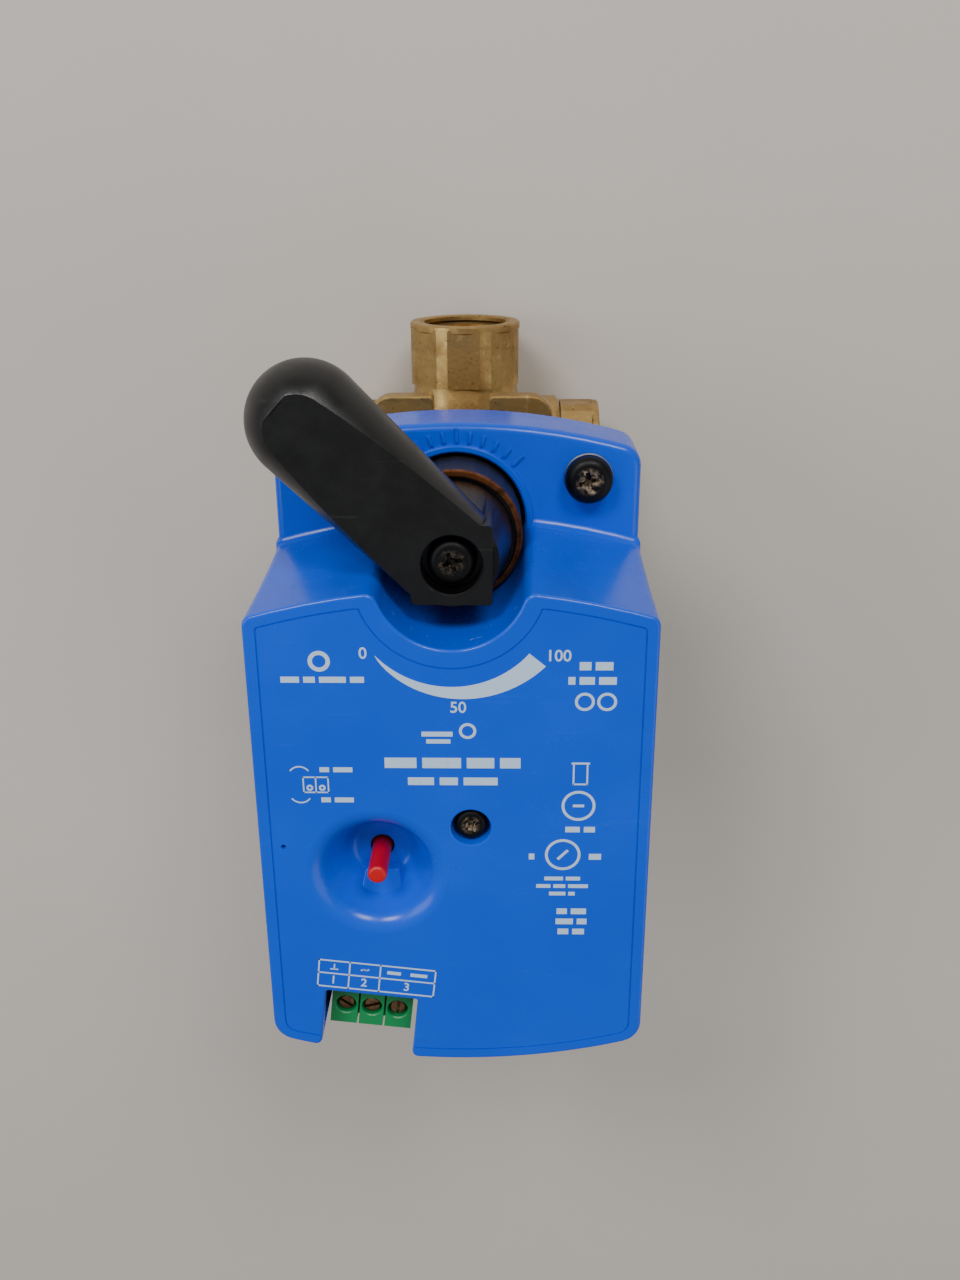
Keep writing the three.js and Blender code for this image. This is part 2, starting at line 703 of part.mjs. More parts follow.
const leverScrewRadius = 2.5;
const leverBore = leverScrewRadius + clearance;
const counterboreRadius = 5.2;
const counterboreZ = leverTopZ - 5.0;
const leverScrewHead = 4.3;
const leverSkirtRadius = collarRadius - 1.7;
const leverSkirtTopRadius = leverSkirtRadius - 2.4;

// A tapered, ball-ended handle that leans down as it goes outwards, with a square hub; one plane cuts both.
function lever() {
  const rise = leverRootZ - gripZ;
  const length = Math.hypot(gripReach, rise);
  const profile = [[0, 0], [leverRootRadius, 0]];
  const domeSteps = 6;
  for (let i = 0; i <= domeSteps; i++) {
    const angle = (i / domeSteps) * (Math.PI / 2);
    profile.push([gripRadius * Math.cos(angle), length + gripRadius * Math.sin(angle)]);
  }
  const points = profile.map(([radius, along]) => new THREE.Vector2(Math.max(radius, 0), along));
  points[points.length - 1].x = 0;
  const geometry = new THREE.LatheGeometry(points, 24).rotateZ(-Math.PI / 2);
  geometry.rotateY(Math.atan2(rise, gripReach)).translate(0, 0, leverRootZ);
  const slope = Math.atan2(leverFlatDrop, leverFlatLength);
  const cutter = new THREE.BoxGeometry(leverFlatLength + 20, 40, 20);
  cutter.translate((leverFlatLength - 20) / 2, 0, 10).rotateY(slope).translate(0, 0, leverTopZ);
  const underside = block(-20, 60, -30, 30, 0, ringTopZ + clearance);
  const nearHub = block(-20, 13, -30, 30, 0, ringTopZ + clearance);
  const handle = cut(solid(geometry), nearHub).subtract(
    underside.intersect(round(0, 0, collarRadius + 2, 0, 90)),
  );
  const half = leverHubHalf;
  const hub = block(-half, half, -half, half, ringTopZ + clearance, leverTopZ + 1);
  const skirtTopZ = leverTopZ - 2.5;
  const skirt = round(0, 0, leverSkirtRadius, collarTopZ + clearance, skirtTopZ, leverSkirtTopRadius);
  const tenon = block(-tenonHalf, tenonHalf, -tenonHalf, tenonHalf, tenonZ + clearance, leverTopZ - 8);
  const along = turnAt(0, 0, leverAngle);
  return cut(
    join(moved(handle, along), hub, skirt, tenon),
    moved(solid(cutter), along),
    round(0, 0, counterboreRadius, counterboreZ, leverTopZ + 1, counterboreRadius),
    round(0, 0, leverBore, 50, leverTopZ, leverBore, medium),
  );
}
part("lever", lever(), "black");

const leverScrew = panScrew(0, 0, counterboreZ + clearance, leverScrewHead, 3.2, leverScrewRadius, 50);
part("lever_screw", leverScrew, "blackSteel");

// ---- Valve ----

const seatReach = ballRadius + 1.9; // outer face of each ball seat
const seatInner = 5.8;
const seatOuter = ballRadius;
const cavityRadius = ballRadius + 0.4;
const adapterNose = seatReach + clearance;
const adapterSpigot = cavityRadius + 0.8;
const stubReach = 21.5;
const chamberRadius = cavityRadius + 3.2;
const neckRadius = 9;
const rimLength = 1.6; // round rim at each port face

// An eight-sided port end with its corners turned round, running from near to far along an axis.
function portEnd(axis, near, far) {
  const acrossCorners = portFlats / 2 / Math.cos(Math.PI / 8);
  const flats = pipe(axis, acrossCorners, near, far, 8);
  return flats.intersect(pipe(axis, portRadius, near - 1, far + 1));
}

function valveBody() {
  let body = join(
    portEnd("x", -portReach, 0),
    portEnd("y", 0, portReach),
    pipe("x", portRadius, -portReach, -portReach + rimLength),
    pipe("y", portRadius, portReach - rimLength, portReach),
    pipe("x", chamberRadius, -15, stubReach),
    round(0, 0, chamberRadius, -chamberRadius, 10),
    round(0, 0, neckRadius, 8, padTopZ - padThickness + 1),
  );
  let pad = prism(roundedSquare(padHalf, 4.5), padTopZ - padThickness, padTopZ, 4);
  for (let quarter = 0; quarter < 4; quarter++) {
    const notch = block(-padNotchHalf, padNotchHalf, padHalf - padNotchDepth, padHalf + 1, 0, 40);
    pad = pad.subtract(moved(notch, turnAt(0, 0, quarter * 90)));
  }
  body = join(body, pad);
  return cut(
    body,
    pipe("x", threadBore, -portReach - 1, -portReach + threadDepth),
    pipe("x", flowBore, -portReach, 0, medium),
    pipe("y", threadBore, portReach - threadDepth, portReach + 1),
    pipe("y", flowBore, 0, portReach, medium),
    pipe("x", cavityRadius, -seatReach - clearance, adapterNose),
    pipe("x", adapterSpigot + clearance, adapterNose - clearance, stubReach + 1),
    round(0, 0, stemRadius + running, 0, 40),
  );
}
part("valve_body", valveBody(), "brass");

function endAdapter() {
  const rim = pipe("x", portRadius, portReach - rimLength, portReach);
  const body = join(
    portEnd("x", stubReach + clearance, portReach),
    rim,
    pipe("x", adapterSpigot, adapterNose, stubReach + 1),
  );
  return cut(
    body,
    pipe("x", threadBore, portReach - threadDepth, portReach + 1),
    pipe("x", flowBore, 0, portReach, medium),
  );
}
part("end_adapter", endAdapter(), "brass");

const tangHalf = 1.6;
const tangFootZ = ballRadius - 3.4;
function ball() {
  const sphere = solid(new THREE.SphereGeometry(ballRadius, 20, 12));
  const slotHalf = tangHalf + clearance;
  return cut(
    sphere,
    pipe("x", flowBore, -0.6 * flowBore, 20, medium),
    pipe("y", flowBore - 0.1, -0.5 * flowBore, 20, medium),
    block(-20, 20, -slotHalf, slotHalf, tangFootZ - clearance, 20),
  );
}
part("valve_ball", ball(), "chrome");

const packingZ = [17.5, 21.5];
const sealThickness = 1.4;
function valveStem() {
  const shaft = round(0, 0, stemRadius, ballRadius + clearance, trayFloorZ);
  const tang = block(-4.6, 4.6, -tangHalf, tangHalf, tangFootZ, ballRadius + 1);
  const half = stemSquare / 2;
  const square = block(-half, half, -half, half, trayFloorZ - 1, tenonZ - 1.5);
  const trimmed = square.intersect(round(0, 0, half * 1.245, 0, faceZ));
  let stem = join(shaft, tang, trimmed);
  for (const z of packingZ) {
    stem = stem.subtract(ring(0, 0, stemRadius - 1.2, stemRadius + 1, z, z + sealThickness + 0.6));
  }
  return stem.subtract(round(0, 0, leverBore, 49, 80, leverBore, medium));
}
part("valve_stem", valveStem(), "steel");
packingZ.forEach((z, i) => {
  const low = z + clearance;
  const inner = stemRadius - 1.2 + clearance;
  part(`stem_seal_${i + 1}`, ring(0, 0, inner, stemRadius + running - 0.1, low, low + sealThickness), "seal");
});

for (const [side, name] of [[-1, "left"], [1, "right"]]) {
  const reach = Math.sqrt(ballRadius ** 2 - seatInner ** 2) + clearance;
  const near = Math.min(side * reach, side * seatReach);
  const far = Math.max(side * reach, side * seatReach);
  const seat = cut(pipe("x", seatOuter, near, far), pipe("x", seatInner, near - 1, far + 1, 24));
  part(`ball_seat_${name}`, seat, "ptfe");
}

export default assembly;
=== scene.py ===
"""A motorised actuator head on its three-way brass ball valve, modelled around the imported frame."""

import math
from types import SimpleNamespace

import bmesh
import bpy
from mathutils import Matrix, Vector


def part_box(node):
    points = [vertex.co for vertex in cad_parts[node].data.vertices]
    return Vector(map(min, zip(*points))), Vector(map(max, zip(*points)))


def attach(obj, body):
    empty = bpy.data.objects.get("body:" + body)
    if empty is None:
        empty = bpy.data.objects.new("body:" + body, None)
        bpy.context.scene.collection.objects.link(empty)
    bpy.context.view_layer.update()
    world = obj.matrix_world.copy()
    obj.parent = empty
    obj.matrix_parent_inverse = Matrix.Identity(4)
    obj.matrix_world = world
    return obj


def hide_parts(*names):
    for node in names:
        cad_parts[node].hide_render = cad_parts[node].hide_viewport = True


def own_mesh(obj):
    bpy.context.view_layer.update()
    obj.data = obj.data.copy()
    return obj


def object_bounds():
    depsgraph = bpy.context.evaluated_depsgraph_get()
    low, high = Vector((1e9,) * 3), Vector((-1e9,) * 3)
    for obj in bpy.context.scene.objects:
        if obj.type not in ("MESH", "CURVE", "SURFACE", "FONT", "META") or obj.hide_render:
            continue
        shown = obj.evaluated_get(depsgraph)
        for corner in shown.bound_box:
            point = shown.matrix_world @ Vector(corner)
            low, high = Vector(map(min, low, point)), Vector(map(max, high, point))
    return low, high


bl_info = {
    "name": "Actuator Head",
    "version": (1, 0, 0),
    "blender": (4, 5, 0),
    "location": "View3D > Sidebar > Actuator",
    "description": "Builds an actuator head, its lever and the brass valve under it",
    "category": "Add Mesh",
}

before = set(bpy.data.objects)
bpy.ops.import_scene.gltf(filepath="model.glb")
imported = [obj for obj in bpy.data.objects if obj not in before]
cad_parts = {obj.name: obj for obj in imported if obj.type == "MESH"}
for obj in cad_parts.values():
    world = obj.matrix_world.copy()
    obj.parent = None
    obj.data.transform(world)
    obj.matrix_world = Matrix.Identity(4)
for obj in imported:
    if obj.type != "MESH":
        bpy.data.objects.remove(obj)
CAD_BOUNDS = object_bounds()

# Shapes are drawn in millimetres and scaled to metres when a piece is finished.
MM = 0.001


def node_box(name):
    """Lowest corner, highest corner and centre of a CAD node, in millimetres."""
    low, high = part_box(name)
    return low / MM, high / MM, (low + high) / 2 / MM


COVER_LOW, COVER_HIGH, _ = node_box("cover")
RING_LOW, RING_HIGH, _ = node_box("sleeve_ring")
TRAY_LOW, TRAY_HIGH, _ = node_box("base_tray")
VALVE_LOW, VALVE_HIGH, _ = node_box("valve_body")
ADAPTER_LOW, ADAPTER_HIGH, _ = node_box("end_adapter")
GAP = 0.3
COVER_HEAD = 2.4  # height of the cover screw's head
LEVER_HEAD = 3.2  # height of the lever screw's head
SPRING_WIRE = 0.45  # radius of the release spring's wire

FACE_Z = COVER_HIGH.z
LEVER_TOP = FACE_Z - 6.0
SKIRT_Z = COVER_LOW.z
TRAY_FOOT = VALVE_HIGH.z + GAP
SHELF_Z = node_box("shelf_washer_left")[0].z - GAP
HALF_WIDTH = COVER_HIGH.x
TOP_Y = COVER_HIGH.y
BOTTOM_Y = COVER_LOW.y
BOW_RADIUS = 120.0
BUTTON = node_box("release_button")[2]
COVER_SCREW = node_box("cover_screw")[2]
SCREW_HOLE = 2.3  # radius of the holes for the shelf screws and the peg
COVER_SEAT = node_box("cover_screw")[1].z - COVER_HEAD - GAP
SHELF_SCREW = node_box("shelf_screw_right")[2]
TERMINAL = node_box("terminal_block")[2]
TERMINAL_TURN = math.radians(-6.5)
PAD_HALF = -VALVE_LOW.y
PAD_NOTCH_HALF = 5.7
PAD_NOTCH_DEPTH = 4.0
LEVER_TURN = math.radians(137.3)
PRINT_LOW = FACE_Z + 0.01
PRINT_HIGH = FACE_Z + 0.06
PLASTIC_IOR = 1.53


# ---- Properties ----

def linear(code):
    """An sRGB hex value as linear red, green and blue."""
    channels = [int(code[i:i + 2], 16) / 255 for i in (1, 3, 5)]
    return [c / 12.92 if c <= 0.04045 else ((c + 0.055) / 1.055) ** 2.4 for c in channels]


def length(name, millimetres, description):
    """A length property in metres with its default given in millimetres."""
    return bpy.props.FloatProperty(
        name=name, description=description, default=millimetres * MM, unit="LENGTH", subtype="DISTANCE")


def colour(name, code, description):
    """A colour property with its default given as an sRGB hex value."""
    return bpy.props.FloatVectorProperty(
        name=name, description=description, default=linear(code), subtype="COLOR", min=0, max=1)


class CoverSizes(bpy.types.PropertyGroup):
    """Sizes of the blue cover."""
    edge: length("Edge radius", 1.7, "Rounding along the rim of the face")
    corner: length("Corner radius", 4.5, "Rounding of the lower corners seen from the front")
    wall: length("Wall", 2.0, "Wall thickness of the cover")
    crease: length("Crease", -0.2, "Place of the foot of the step wall at the middle of the cover")
    lean: length("Step lean", 2.0, "How far the step wall leans back on its way up")
    hub: length("Well radius", 13.0, "Radius of the well around the lever hub")
    dish: length("Dish radius", 10.6, "Radius of the finger dish around the release button")
    dish_depth: length("Dish depth", 10.0, "Depth of the finger dish")
    notch: length("Notch width", 17.6, "Width of the terminal notch")
    groove: length("Label groove", 0.28, "Width of the thin groove round the printed field")


class LeverSizes(bpy.types.PropertyGroup):
    """Sizes of the hand lever."""
    reach: length("Reach", 33.6, "From the stem axis to the centre of the ball-shaped end")
    ball: length("Ball radius", 10.5, "Radius of the ball-shaped end")
    root: length("Root radius", 9.4, "Radius of the handle where it meets the hub")
    flat: length("Flat length", 38.9, "Length of the flat along the top of the handle")
    hub: length("Hub half width", 7.0, "Half the width of the square hub")
    bore: length("Counterbore radius", 5.2, "Radius of the hole that sinks the screw's head")


class ValveSizes(bpy.types.PropertyGroup):
    """Sizes of the brass valve."""
    port: length("Port radius", 12.4, "Outer radius of a port's rim")
    flats: length("Across flats", 24.2, "Width across the flats of a port end")
    thread: length("Thread radius", 9.3, "Crest radius of the pipe thread")
    pitch: length("Thread pitch", 1.81, "Distance between thread crests")


class FinishColours(bpy.types.PropertyGroup):
    """Main colours of the object."""
    cover: colour("Cover blue", "#0052E0", "Moulded cover")
    ink: colour("Print", "#BFD6F2", "Pad-printed marks on the face")
    lever: colour("Lever black", "#070809", "Moulded lever")
    tray: colour("Tray", "#2B2D30", "Moulded base tray")
    brass: colour("Brass", "#C4A468", "Forged and machined brass")
    button: colour("Button red", "#CC0010", "Release button")
    terminal: colour("Terminal green", "#138A4C", "Terminal block")
    floor: colour("Floor", "#C9C3BC", "Plain floor")


def own_settings(group):
    """The names of the settings in a property group."""
    return [name for name in group.bl_rna.properties.keys() if name not in ("rna_type", "name")]


def sizes_of(part):
    """The sizes of the cover, the lever or the valve, in millimetres."""
    group = getattr(bpy.context.scene, f"actuator_{part}")
    return SimpleNamespace(**{name: getattr(group, name) / MM for name in own_settings(group)})


def tint(value):
    """A linear colour, from an sRGB hex value or from its name among the colours."""
    return linear(value) if value.startswith("#") else tuple(getattr(bpy.context.scene.actuator_colours, value))


# ---- Mesh helpers ----

def arc(x, y, radius, start, end, steps):
    """Points along an arc between two angles in degrees."""
    angles = [math.radians(start + (end - start) * i / steps) for i in range(steps + 1)]
    return [(x + radius * math.cos(a), y + radius * math.sin(a)) for a in angles]


def rounded(corners, steps=5):
    """An outline from (x, y, radius) corners, each rounded by its radius and kept sharp at zero."""
    points = []
    for i, (x, y, radius) in enumerate(corners):
        if not radius:
            points.append((x, y))
            continue
        here = Vector((x, y))
        before = (Vector(corners[i - 1][:2]) - here).normalized()
        after = (Vector(corners[(i + 1) % len(corners)][:2]) - here).normalized()
        half = before.angle(after) / 2
        centre = here + (before + after).normalized() * radius / math.sin(half)
        start = here + before * radius / math.tan(half) - centre
        end = here + after * radius / math.tan(half) - centre
        sweep = -start.angle_signed(end)
        for step in range(steps + 1):
            turn = Matrix.Rotation(sweep * step / steps, 2)
            points.append(tuple(centre + turn @ start))
    return points


def lofted(levels):
    """A closed solid through outlines of equal count, given as (height, points) from low to high."""
    bm = bmesh.new()
    rings = [[bm.verts.new((x, y, z)) for x, y in points] for z, points in levels]
    loops = [[bm.edges.new((a, b)) for a, b in zip(ring, ring[1:] + ring[:1])] for ring in rings]
    for low, high in zip(loops, loops[1:]):
        bmesh.ops.bridge_loops(bm, edges=low + high)
    bm.faces.new(rings[0])
    bm.faces.new(rings[-1])
    bmesh.ops.recalc_face_normals(bm, faces=bm.faces)
    return bm


def prism(points, low, high):
    """A closed solid standing on a flat outline."""
    return lofted([(low, points), (high, points)])


def block(low, high):
    """A box between two corners."""
    bm = bmesh.new()
    bmesh.ops.create_cube(bm, size=1)
    size = Vector(high) - Vector(low)
    bmesh.ops.scale(bm, vec=size, verts=bm.verts)
    bmesh.ops.translate(bm, vec=(Vector(low) + Vector(high)) / 2, verts=bm.verts)
    return bm


def spun(profile, x=0, y=0, steps=64):
    """A solid turned about a vertical axis, from (radius, height) pairs that close on it or on themselves."""
    bm = bmesh.new()
    verts = [bm.verts.new((radius, 0, z)) for radius, z in profile]
    edges = [bm.edges.new(pair) for pair in zip(verts, verts[1:])]
    if profile[0][0] > 0:
        edges.append(bm.edges.new((verts[-1], verts[0])))
    bmesh.ops.spin(bm, geom=verts + edges, cent=(0, 0, 0), axis=(0, 0, 1),
                   angle=math.tau, steps=steps, use_merge=True)
    bmesh.ops.remove_doubles(bm, verts=bm.verts, dist=1e-4)
    bmesh.ops.recalc_face_normals(bm, faces=bm.faces)
    bmesh.ops.translate(bm, vec=(x, y, 0), verts=bm.verts)
    return bm


def rod(radius, low, high, x=0, y=0, steps=64):
    """A round solid between two heights."""
    return hoop(0, radius, low, high, x, y, steps)


def hoop(inner, outer, low, high, x=0, y=0, steps=64):
    """A plain ring between two radii and two heights."""
    return spun([(inner, low), (outer, low), (outer, high), (inner, high)], x, y, steps)


def coiled(radius, wire, low, high, turns, steps=28):
    """A helical spring of round wire about the vertical axis, between two heights of its wire's centre."""
    bm = bmesh.new()
    upright = Matrix.Translation((radius, 0, low)) @ Matrix.Rotation(math.pi / 2, 4, "X")
    bmesh.ops.create_circle(bm, cap_ends=True, radius=wire, segments=12, matrix=upright)
    section = bm.verts[:] + bm.edges[:] + bm.faces[:]
    rise = (high - low) / (turns * steps)
    bmesh.ops.spin(bm, geom=section, cent=(0, 0, 0), axis=(0, 0, 1), dvec=(0, 0, rise),
                   angle=turns * math.tau, steps=turns * steps, use_merge=False)
    bmesh.ops.recalc_face_normals(bm, faces=bm.faces)
    return bm


def moved(bm, matrix):
    """The same mesh placed by a matrix."""
    bmesh.ops.transform(bm, matrix=matrix, verts=bm.verts)
    return bm


def set_at(bm, x, y, turn=0.0, z=0.0):
    """The same mesh turned about the vertical axis by an angle in radians and then moved."""
    return moved(bm, Matrix.Translation((x, y, z)) @ Matrix.Rotation(turn, 4, "Z"))


def lying(bm, turn):
    """A solid turned about Z laid along +Y, then swung round Z by an angle in degrees."""
    return moved(bm, Matrix.Rotation(math.radians(turn), 4, "Z") @ Matrix.Rotation(-math.pi / 2, 4, "X"))


def rounded_edges(bm, edges, radius, segments=3):
    """Rounds some edges of a mesh."""
    bmesh.ops.bevel(bm, geom=list(edges), offset=radius, offset_type="OFFSET", affect="EDGES",
                    segments=segments, profile=0.5, material=-1, clamp_overlap=True)
    return bm


def rim(bm, height):
    """The edges round the flat face that lies at a height."""
    faces = [f for f in bm.faces if all(abs(v.co.z - height) < 1e-3 for v in f.verts)]
    return [e for e in faces[0].edges]


def as_mesh(bm, name):
    """A mesh made from a bmesh, which is freed."""
    mesh = bpy.data.meshes.new(name)
    bm.to_mesh(mesh)
    bm.free()
    return mesh


def linked(name, data):
    """A new object in the scene."""
    made = bpy.data.objects.new(name, data)
    bpy.context.collection.objects.link(made)
    return made


def evaluated(made):
    """The mesh that an object gives, as a new bmesh. The object is removed with its data."""
    bpy.context.view_layer.update()
    mesh = bpy.data.meshes.new_from_object(made.evaluated_get(bpy.context.evaluated_depsgraph_get()))
    bm = bmesh.new()
    bm.from_mesh(mesh)
    bpy.data.meshes.remove(mesh)
    (bpy.data.curves if made.type == "FONT" else bpy.data.meshes).remove(made.data)
    return bm


def combined(first, operation, *others):
    """Joins, cuts or intersects closed solids one after another."""
    target, *tools = [linked("working", as_mesh(bm, "working")) for bm in (first, *others)]
    for tool in tools:
        modifier = target.modifiers.new("combine", "BOOLEAN")
        modifier.operation = operation
        modifier.solver = "MANIFOLD"
        modifier.object = tool
    result = evaluated(target)
    for tool in tools:
        bpy.data.meshes.remove(tool.data)
    if not result.faces:
        raise RuntimeError("a solid came out empty")
    bmesh.ops.remove_doubles(result, verts=result.verts, dist=1e-3)
    return result


def joined(first, *others):
    """Closed solids made one."""
    return combined(first, "UNION", *others)


def cut(first, *tools):
    """A closed solid with others taken out of it."""
    return combined(first, "DIFFERENCE", *tools)


def softened(bm, radius, angle=35):
    """Rounds every edge sharper than an angle in degrees."""
    made = linked("working", as_mesh(bm, "working"))
    modifier = made.modifiers.new("soften", "BEVEL")
    modifier.width = radius
    modifier.segments = 2
    modifier.limit_method = "ANGLE"
    modifier.angle_limit = math.radians(angle)
    modifier.use_clamp_overlap = True
    return evaluated(made)


def merged(first, *others):
    """Gathers separate shells in one mesh."""
    for other in others:
        mesh = as_mesh(other, "shell")
        first.from_mesh(mesh)
        bpy.data.meshes.remove(mesh)
    return first


def finished(bm, name, body, finish, replaced=(), smooth=33):
    """Turns a mesh drawn in millimetres into a piece that rides on a body."""
    bmesh.ops.scale(bm, vec=(MM, MM, MM), verts=bm.verts)
    mesh = as_mesh(bm, name)
    mesh.shade_smooth()
    mesh.set_sharp_from_angle(angle=math.radians(smooth))
    mesh.materials.append(material(finish))
    piece = linked(name, mesh)
    even = piece.modifiers.new("even shading", "WEIGHTED_NORMAL")
    even.keep_sharp = True
    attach(piece, body)
    if replaced:
        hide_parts(*replaced)
    return piece


# ---- Materials ----

def feed(tree, node, inputs):
    """Sets a node's inputs. A socket is linked, and so is a node, by its first output in use."""
    for name, value in inputs.items():
        socket = node.inputs[name]
        if isinstance(name, str):
            socket = next(s for s in node.inputs if s.enabled and s.name == name)
        if isinstance(value, bpy.types.Node):
            value = next(s for s in value.outputs if s.enabled)
        if isinstance(value, bpy.types.NodeSocket):
            tree.links.new(value, socket)
        else:
            socket.default_value = (*value, 1) if socket.type == "RGBA" else value


def add(tree, kind, inputs=None, stops=(), **settings):
    """Adds a node with its settings, its inputs and, on a colour ramp, its two (level, grey) stops."""
    made = tree.nodes.new(kind)
    for name, value in settings.items():
        setattr(made, name, value)
    for i, (level, grey) in enumerate(stops):
        made.color_ramp.elements[i].position = level
        made.color_ramp.elements[i].color = (grey, grey, grey, 1)
    feed(tree, made, inputs or {})
    return made


def spaced(place, millimetres, detail=3.0, roughness=0.55):
    """The inputs of a noise whose features are about this many millimetres apart."""
    return {"Vector": place, "Scale": 1 / (millimetres * MM), "Detail": detail, "Roughness": roughness}


def patches(tree, noise_inputs, low, high):
    """A mask of patches, from a noise that is spread between two (level, grey) stops."""
    cloud = add(tree, "ShaderNodeTexNoise", noise_inputs)
    return add(tree, "ShaderNodeValToRGB", {"Fac": cloud}, (low, high))


def layered(tree, colour, *layers):
    """A colour with others laid over it, each by its own mask."""
    for mask, over in layers:
        colour = add(tree, "ShaderNodeMix", {"Factor": mask, "A": colour, "B": over}, data_type="RGBA")
    return colour


def weakened(tree, mask, *others):
    """A mask held back by other masks or by a number."""
    for other in others:
        mask = add(tree, "ShaderNodeMath", {0: mask, 1: other}, operation="MULTIPLY")
    return mask


def scratches(tree, place, spacing, turn):
    """Fine straight scratches, long one way and close together across it, as a mask."""
    along = add(tree, "ShaderNodeMapping", {"Vector": place, "Rotation": (0, 0, turn), "Scale": (0.04, 1, 0.3)})
    lines = patches(tree, spaced(along, spacing, 2.0, 0.4), (0.66, 0.0), (0.72, 1.0))
    where = patches(tree, spaced(place, spacing * 14, 2.0), (0.5, 0.0), (0.62, 1.0))
    return weakened(tree, lines, where)


def surfaced(tree, colour, gloss, height, strength, depth, **fixed):
    """Ends a material with its colour, its roughness and a bump whose depth is in millimetres."""
    bump = add(tree, "ShaderNodeBump", {"Height": height, "Strength": strength, "Distance": depth * MM})
    shader = add(tree, "ShaderNodeBsdfPrincipled", {"Base Color": colour, "Roughness": gloss, "Normal": bump})
    feed(tree, shader, {name.replace("_", " "): value for name, value in fixed.items()})
    add(tree, "ShaderNodeOutputMaterial", {"Surface": shader})


def shaded(colour, share):
    """A colour darkened to a share of itself."""
    return [c * share for c in colour]


def moulded(tree, place, base, low, high, grain, strength, wear, shade=0.86):
    """Injection-moulded plastic: an even colour, a slight sheen that varies, fine grain and handling scratches."""
    base = tint(base)
    cloud = add(tree, "ShaderNodeTexNoise", spaced(place, 14))
    fade = weakened(tree, scratches(tree, place, 0.7, 0.6), wear)
    pale = [min(1.0, c * 1.5 + 0.05) for c in base]
    body = layered(tree, shaded(base, shade), (cloud, base), (fade, pale))
    gloss = patches(tree, spaced(place, 4, 5.0), (0.3, low), (0.7, high))
    skin = add(tree, "ShaderNodeTexNoise", spaced(place, grain))
    surfaced(tree, body, gloss, skin, strength, 0.05, IOR=PLASTIC_IOR)


def metal(tree, place, base, tarnish, low, high, stain, grain=0.4, strength=0.15):
    """Bare metal: a clean colour clouded by a darker tarnish, with a roughness that follows the tarnish."""
    cloud = patches(tree, spaced(place, stain, 6.0, 0.62), (0.38, 0.0), (0.66, 1.0))
    gloss = add(tree, "ShaderNodeValToRGB", {"Fac": cloud}, ((0.0, low), (1.0, high)))
    tooth = add(tree, "ShaderNodeTexNoise", spaced(place, grain, 4.0))
    surfaced(tree, layered(tree, tint(base), (cloud, tint(tarnish))), gloss, tooth, strength, 0.06, Metallic=1.0)


def azure_abs(tree, place):
    """Gloss-moulded ABS: an even strong blue with a soft sheen, faint handling marks and scuffs by the hub."""
    base = tint("cover")
    cloud = patches(tree, spaced(place, 22), (0.35, 0.0), (0.7, 1.0))
    # Grime gathers in smears a few millimetres wide.
    smear = add(tree, "ShaderNodeMapping", {"Vector": place, "Rotation": (0, 0, 0.5), "Scale": (0.5, 1.6, 1)})
    grime = patches(tree, spaced(smear, 9, 6.0, 0.6), (0.6, 0.0), (0.85, 0.1))
    # The lever has rubbed the wall of the hub well just below its rim.
    split = add(tree, "ShaderNodeSeparateXYZ", {"Vector": place})
    flat = add(tree, "ShaderNodeCombineXYZ", {"X": split.outputs["X"], "Y": split.outputs["Y"]})
    away = add(tree, "ShaderNodeVectorMath", {0: flat}, operation="LENGTH")
    hub = sizes_of("cover").hub
    near = add(tree, "ShaderNodeMapRange", {
        "Value": away, "From Min": (hub + 0.6) * MM, "From Max": (hub - 0.2) * MM})
    above = add(tree, "ShaderNodeMapRange", {
        "Value": split.outputs["Z"], "From Min": (FACE_Z - 16) * MM, "From Max": (FACE_Z - 6) * MM})
    rub = patches(tree, spaced(place, 2.6, 8.0, 0.72), (0.6, 0.0), (0.68, 0.7))
    scuff = weakened(tree, near, above, rub)
    faint = weakened(tree, scratches(tree, place, 0.8, 0.9), 0.03)
    body = layered(tree, shaded(base, 0.9), (cloud, base), (grime, shaded(base, 0.45)),
                   (scuff, linear("#8FB4DE")), (faint, linear("#7DB0F0")))
    gloss = patches(tree, spaced(place, 5, 6.0), (0.3, 0.2), (0.72, 0.3))
    skin = add(tree, "ShaderNodeTexNoise", spaced(place, 1.1))
    surfaced(tree, body, gloss, skin, 0.02, 0.03, IOR=PLASTIC_IOR, Specular_IOR_Level=0.4)


def black_oxide(tree, place, amount):
    """Black-oxide steel: dark and satin, with a pale corrosion bloom and rust down in the tool recess."""
    recess = add(tree, "ShaderNodeAttribute", attribute_name="recess").outputs["Fac"]
    eaten = patches(tree, spaced(place, 1.1, 7.0, 0.7), (0.44, 0.0), (0.56, amount))
    specks = patches(tree, spaced(place, 0.8, 5.0, 0.7), (0.66, 0.0), (0.74, amount * 0.5))
    bloom = add(tree, "ShaderNodeMix", {"Factor": recess, "A": specks, "B": eaten}, data_type="RGBA")
    rust = patches(tree, spaced(place, 0.7, 5.0, 0.6), (0.4, 0.0), (0.6, 1.0))
    crust = layered(tree, linear("#5E4630"), (rust, linear("#A3937C")))
    cloud = add(tree, "ShaderNodeTexNoise", spaced(place, 3))
    body = layered(tree, linear("#0D0E0F"), (cloud, linear("#1C1D1F")), (bloom, crust))
    gloss = add(tree, "ShaderNodeValToRGB", {"Fac": bloom}, ((0.0, 0.42), (1.0, 0.85)))
    bare = add(tree, "ShaderNodeValToRGB", {"Fac": bloom}, ((0.0, 0.7), (1.0, 0.0)))
    pitting = add(tree, "ShaderNodeTexNoise", spaced(place, 0.5, 5.0))
    surfaced(tree, body, gloss, pitting, 0.3, 0.06, Metallic=bare)


